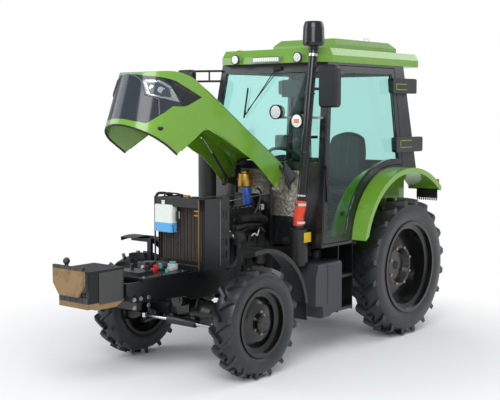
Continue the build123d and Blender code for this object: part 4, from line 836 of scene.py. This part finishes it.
# ---- Snorkel, elbow and cleaner fittings ----
# Worm-drive clamps of stainless band hold the red elbow; ring clamps and a bright band hold the
# snorkel, and a blank yellow plate is stuck on the canister.
def band(name, centre, way, r, wide, wall, material):
    """A flat hoop round a tube along way, spun from its own section; sizes in millimetres."""
    bpy.ops.mesh.primitive_plane_add(size=1)
    with editing():
        bpy.ops.transform.resize(value=(wall / 1000, wide / 1000, 1))
        bpy.ops.transform.rotate(value=pi / 2, orient_axis="X", center_override=(0, 0, 0))
        bpy.ops.transform.translate(value=((r + wall / 2) / 1000, 0, 0))
        bpy.ops.mesh.spin(steps=40, angle=2 * pi, center=(0, 0, 0), axis=(0, 0, 1))
        bpy.ops.mesh.select_all(action="SELECT")
        bpy.ops.mesh.remove_doubles(threshold=0.00005)
        bpy.ops.mesh.normals_make_consistent(inside=False)
    piece = bpy.context.object
    turn = Vector(way).to_track_quat("Z", "Y").to_matrix().to_4x4()
    piece.matrix_world = Matrix.Translation(placed(centre)) @ turn
    bpy.ops.object.shade_smooth_by_angle(angle=radians(40))
    return settled(name, material)


steel_band = metal("stainless_band", "#d0d2cf", 0.25)
STACK_R = 37
stack_foot, stack_top = at(560, -1378, 1345), at(560, -1216, 2620)
rise = stack_top - stack_foot
for name, share, wide, wall, material in (
    ("snorkel_silver_band", 0.962, 22, 1.2, steel_band),
    ("snorkel_ring_high", 0.71, 12, 6, frame_black),
    ("snorkel_ring_low", 0.32, 12, 6, frame_black),
    ("snorkel_foot_clamp", 0.035, 14, 1.6, steel_band),
):
    band(name, stack_foot + rise * share, rise, STACK_R, wide, wall, material)
for name, centre in (("elbow_clamp_low", (552, -1386, 1166)), ("elbow_clamp_high", (558, -1381, 1318))):
    band(name, centre, (0, 0, 1), 51.2, 22, 1.6, steel_band)
bar("filter_label", (622, -1424, 1001), (627.5, -1330, 1084),
    plastic("blank_yellow_label", "#d9b320", 0.35), 0.5)


# ---- Windscreen fittings ----
# A sprung wiper with two arms hangs from its motor on the header, with a rubber blade against the
# glass. Behind the glass are a dark visor and two levers.
def on_screen(x, z, out):
    """A point in front of the windscreen by out millimetres, at height z."""
    return (x, -1119 + (z - 2000) * 0.162 - out, z)


joined("windscreen_wiper", [
    pin("arm", on_screen(44, 2478, 30), on_screen(-257, 2065, 26), 4.5, rubber, 10),
    pin("arm", on_screen(84, 2478, 30), on_screen(-236, 2108, 26), 4.5, rubber, 10),
    bar("motor", on_screen(20, 2462, 40), on_screen(108, 2492, 4), rubber, 4),
    pin("blade_back", on_screen(-266, 2308, 22), on_screen(-277, 2037, 22), 6, rubber, 8),
    pin("blade_rubber", on_screen(-266, 2308, 12), on_screen(-277, 2037, 12), 4, rubber, 6),
    pin("blade_link", on_screen(-257, 2065, 26), on_screen(-272, 2160, 22), 5, rubber, 8)])
bar("sun_visor", (68, -1016, 2223), (324, -1006, 2377),
    plastic("visor_dark_plastic", "#23282b", 0.5), 4)
levers = []
for x in (-200, -174):
    levers.append(pin("lever", (x, -640, 1120), (x - 4, -700, 1420), 6, rubber, 10))
    levers.append(pin("knob", (x - 4, -700, 1416), (x - 5, -706, 1450), 16, rubber, 16, 6))
joined("cab_levers", levers)


# ---- Door fittings ----
# A moulded grip with its lock, a catch on the glass, and the yellow-green flash inlaid in each
# hinge cover.
inlay_green = plastic("hinge_inlay_green", "#93b52b", 0.35)
FLASH = 5
for side, s in SIDES:
    body = f"door_{side}"
    joined(f"door_grip_{side}", [
        bar("grip", (s * 676, -1196, 1451), (s * 694, -1160, 1646), rubber, 7, body),
        bar("plate", (s * 672, -1208, 1480), (s * 680, -1150, 1610), rubber, 3, body)])
    pin(f"window_catch_{side}", (s * 684, -962, 1216), (s * 706, -962, 1216), 20, rubber, 20, 4, body)
    flashes = []
    for y0, y1, z0, z1, x in ((-70, 120, 2296, 2352, 674), (-50, 150, 1760, 1828, 717)):
        rims = (((y0, z0), (y1, z0 + FLASH)), ((y0, z1 - FLASH), (y1, z1)), ((y0, z0), (y0 + FLASH, z1)))
        for a, b in rims:
            flashes.append(bar("flash", (s * (x - 1), *a), (s * (x + 1.2), *b), inlay_green, 0, body))
    joined(f"hinge_flash_{side}", flashes)


# ---- Roof fittings ----
# Rubber strips on the roof skin, a plated lifting eye, and lamps in black bezels: clear reflectors
# with a grid of cells, and a bar of small cells between them.
lens_white = plastic("lamp_white_lens", "#eef1ec", 0.12, 6)
lamp_amber = plastic("lamp_amber_insert", "#d4701e", 0.2, 6)
joined("roof_strips", [
    bar("strip", (-440, -1040, 2643), (-408, -620, 2654), rubber, 3),
    bar("strip", (-60, -480, 2759), (-34, -120, 2770), rubber, 3),
    bar("strip", (-150, -1169, 2573), (150, -1164, 2578), rubber, 1.5)])
FORWARD = (0, -1, 0)
bezels, lenses, cells = [], [], []
for x, y, z, r, rim, wide, corners in (
    (-352, -1165, 2562, 36, 38.5, 14, 32),
    (352, -1165, 2562, 36, 38.5, 14, 32),
    (212, -1282, 2093, 54, 57, 30, 40),
    (440, -1282, 2017, 54, 57, 30, 40),
):
    bezels.append(band("bezel", (x, y, z), FORWARD, rim, wide, 6, rubber))
    lenses.append(pin("lens", (x, y - 5, z), (x, y - 9, z), r, lens_white, corners, 1.5))
joined("lamp_bezels", bezels)
joined("lamp_lenses", lenses)
joined("amber_cells", [
    bar("cell", (x, -1294, z), (x + 16, -1290.5, z + 9), lamp_amber, 0.8)
    for z in (2000, 2012, 2024) for x in (412, 431, 450)])
for x, y, z, r in ((212, -1291, 2093, 40), (-352, -1174, 2562, 26), (352, -1174, 2562, 26)):
    step = r * 0.42
    for i in range(-2, 3):
        for j in range(-2, 3):
            if (i * i + j * j) * step * step < r * r:
                cells.append(pin("cell", (x + i * step, y + 0.5, z + j * step),
                                 (x + i * step, y - 1.2, z + j * step), step * 0.38, trim_silver, 8))
joined("lamp_cells", cells)
joined("light_bar_cells", [
    bar("cell", (x, -1170.5, 2537), (x + 20, -1167, 2571), lens_white, 2) for x in range(-138, 150, 24)])
bar("light_bar_case", (-148, -1166, 2531), (148, -1140, 2534), rubber, 0.5)
bpy.ops.mesh.primitive_torus_add(major_radius=0.026, minor_radius=0.0055, major_segments=36,
                                 minor_segments=10, location=at(159, 201, 2778),
                                 rotation=(pi / 2, 0, radians(30)))
bpy.ops.object.shade_smooth()
eye = settled("eye_ring", steel_band)
joined("lifting_eye", [eye, post("collar", 159, 201, 2757, 2764, 17, steel_band, 20, 2)])


# ---- Mirrors ----
# A silvered glass in each black shell, facing the driver: a flat pane held by the rim of the
# shell.
silvered = metal("silvered_glass", "#dfe6e8", 0.03)
for side, s in SIDES:
    bar(f"mirror_glass_{side}", (s * 728, -1299, 2150), (s * 884, -1296, 2458), silvered, 1)


# ---- Rear fenders' fittings ----
# A serrated rubber flap bolted under the rear edge, and an amber plastic reflector at the foot of
# the lamp.
flap_rubber = plastic("flap_rubber", "#0c0f11", 0.55)
for side, s in SIDES:
    teeth = [bar("flap", (s * 600, 452, 1262), (s * 828, 458, 1350), flap_rubber, 1)]
    for x in range(604, 834, 23):
        teeth.append(bar("tooth", (s * x, 452, 1238), (s * (x + 13), 458, 1264), flap_rubber, 1))
    joined(f"fender_flap_{side}", teeth)
    bar(f"reflector_foot_{side}", (s * 742, 461, 1392), (s * 840, 464, 1410),
        plastic("amber_reflector", "#c8641a", 0.15, 5), 0.8)


# ---- Fuel tank and steps ----
# A moulded screw cap, a steel strap over the deck and a drain plug. The grip on the treads is
# punched up from their sheet.
post("tank_cap", 450, -1012, 862, 884, 47.5, rubber, 16, 2)
bar("tank_strap", (690, -1176, 452), (692.5, -1152, 792), frame_black, 0.8)
post("tank_drain", 500, -1176, 330, 322, 12, steel_band, 6)
joined("step_grip", [
    post("stud", s * x, y, z, z + 2.6, 6, chassis_black, 6)
    for side, s in SIDES for z in (376, 666)
    for x in range(496, 640, 24) for y in range(-934, -750, 30)])


# ---- Steering, axle and rear hitch fittings ----
# Two hydraulic hoses to the steering cylinder, and zinc-plated check chains that keep the lower
# links from swinging into the tyres.
hose_black = plastic("hydraulic_hose_rubber", "#101112", 0.38)
pipe("steering_hose_left", [(150, -2250, 512), (168, -2242, 590), (150, -2190, 690), (130, -2110, 700)], 9,
     hose_black)
pipe("steering_hose_right", [(-80, -2250, 512), (-98, -2242, 590), (-110, -2190, 690), (-120, -2110, 700)], 9,
     hose_black)
chain_steel = metal("zinc_chain", "#9b9a95", 0.35)
LINKS = 7
for side, s in SIDES:
    links = []
    a, b = at(s * 150, 250, 400), at(s * 190, 470, 428)
    for i in range(LINKS):
        here = a + (b - a) * ((i + 0.5) / LINKS)
        turn = (b - a).to_track_quat("X", "Z").to_euler()
        bpy.ops.mesh.primitive_torus_add(major_radius=0.016, minor_radius=0.0045, major_segments=18,
                                         minor_segments=8, location=here, rotation=turn)
        # every second link lies crosswise
        if i % 2:
            with editing():
                bpy.ops.transform.rotate(value=pi / 2, orient_axis="X", center_override=here)
        bpy.ops.object.shade_smooth()
        links.append(settled("link", chain_steel))
    joined(f"check_chain_{side}", links)


# ---- Seat ----
# Foam cushions under black vinyl, crowned in the middle and pulled in between their corners, with
# sewn channels and a piped seam round the rim. They sit in a pan on the box in the cab's middle.
def vinyl(name):
    """Embossed seat vinyl: leather grain of about 2 mm, worn smoother where people sit."""
    look = Look(name)
    worn = look.noise(6, 5)
    return look.done({
        "Base Color": look.mixed(worn, "#16191c", "#2a2f33"),
        "Roughness": look.mapped(worn, 0.42, 0.62),
        "Normal": look.relief(look.pores(480), 0.12, 0.0004),
    })


def plan_round(u, v):
    """How far the plan's corners draw in, across and along, at u and v from -1 to 1."""
    return 0.3 + 0.7 * (1 - v * v / 2) ** 0.5, 0.3 + 0.7 * (1 - u * u / 2) ** 0.5


def cushion(name, half, channels, along, place, material):
    """A closed pad in its own frame: half sizes, crowned on top, sewn channels across or along it."""
    bpy.ops.mesh.primitive_cube_add(size=2)
    with editing():
        bpy.ops.mesh.subdivide(number_cuts=31)
    piece = bpy.context.object
    wide, deep, high = half
    for vertex in piece.data.vertices:
        u, v, w = vertex.co
        # the rim draws in between the corners, and the plan's corners are rounded off
        pull_u = 1 - 0.035 * (1 - v * v) * abs(w) ** 0.5
        pull_v = 1 - 0.035 * (1 - u * u) * abs(w) ** 0.5
        round_u, round_v = plan_round(u, v)
        rim = (1 - abs(u) ** 6) * (1 - abs(v) ** 6)
        x, y = u * wide * pull_u * round_u, v * deep * pull_v * round_v
        z = w * (0.42 + 0.58 * max(rim, 0) ** 0.35) * high
        if w > 0.2:
            z -= high * 0.10 * (u * u + v * v) / 2
            for c in channels:
                here, across = (u, v) if along else (v, u)
                z -= 0.010 * max(0, 1 - abs(here - c) / 0.07) ** 2 * (1 - abs(across) ** 4)
        # the walls bulge 6 mm between seams that draw in 4 mm
        bulge = 0.010 * (1 - w * w) - 0.004
        x += bulge * u * (abs(u) > 0.99)
        y += bulge * v * (abs(v) > 0.99)
        vertex.co = (x, y, z)
    smooth = piece.modifiers.new("soft", "SMOOTH")
    smooth.iterations, smooth.factor = 3, 0.4
    finer = piece.modifiers.new("finer", "SUBSURF")
    finer.levels = finer.render_levels = 1
    for modifier in ("soft", "finer"):
        bpy.ops.object.modifier_apply(modifier=modifier)
    bpy.ops.object.shade_smooth()
    piece.matrix_world = place
    settled(name, material)
    seam = []
    for i in range(97):
        c, s = cos(2 * pi * i / 96), sin(2 * pi * i / 96)
        far = 1 / max(abs(c), abs(s))
        u, v = c * far, s * far
        round_u, round_v = plan_round(u, v)
        pull_u, pull_v = 1 - 0.02 * (1 - v * v), 1 - 0.02 * (1 - u * u)
        seam.append(place @ Vector((u * wide * round_u * pull_u, v * deep * round_v * pull_v, high * 0.3)))
    pipe(f"{name}_piping", seam, 3.5, material, bend=False)
    return piece


seat_vinyl = vinyl("seat_vinyl")
seat_place = Matrix.Translation(at(0, -180, 1310))
seat_pad = cushion("seat_pad", (0.232, 0.232, 0.058), (-0.5, 0.0, 0.5), False, seat_place, seat_vinyl)
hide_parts("seat_cushion")
# the back leans 9.5 degrees from upright
back_place = Matrix.Translation(at(0, 108, 1630)) @ Matrix.Rotation(radians(90 - 9.5), 4, "X")
back_pad = cushion("seat_back_pad", (0.222, 0.262, 0.046), (-0.6, -0.36, -0.12, 0.12, 0.36, 0.6), True,
                   back_place, seat_vinyl)
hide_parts("seat_back")
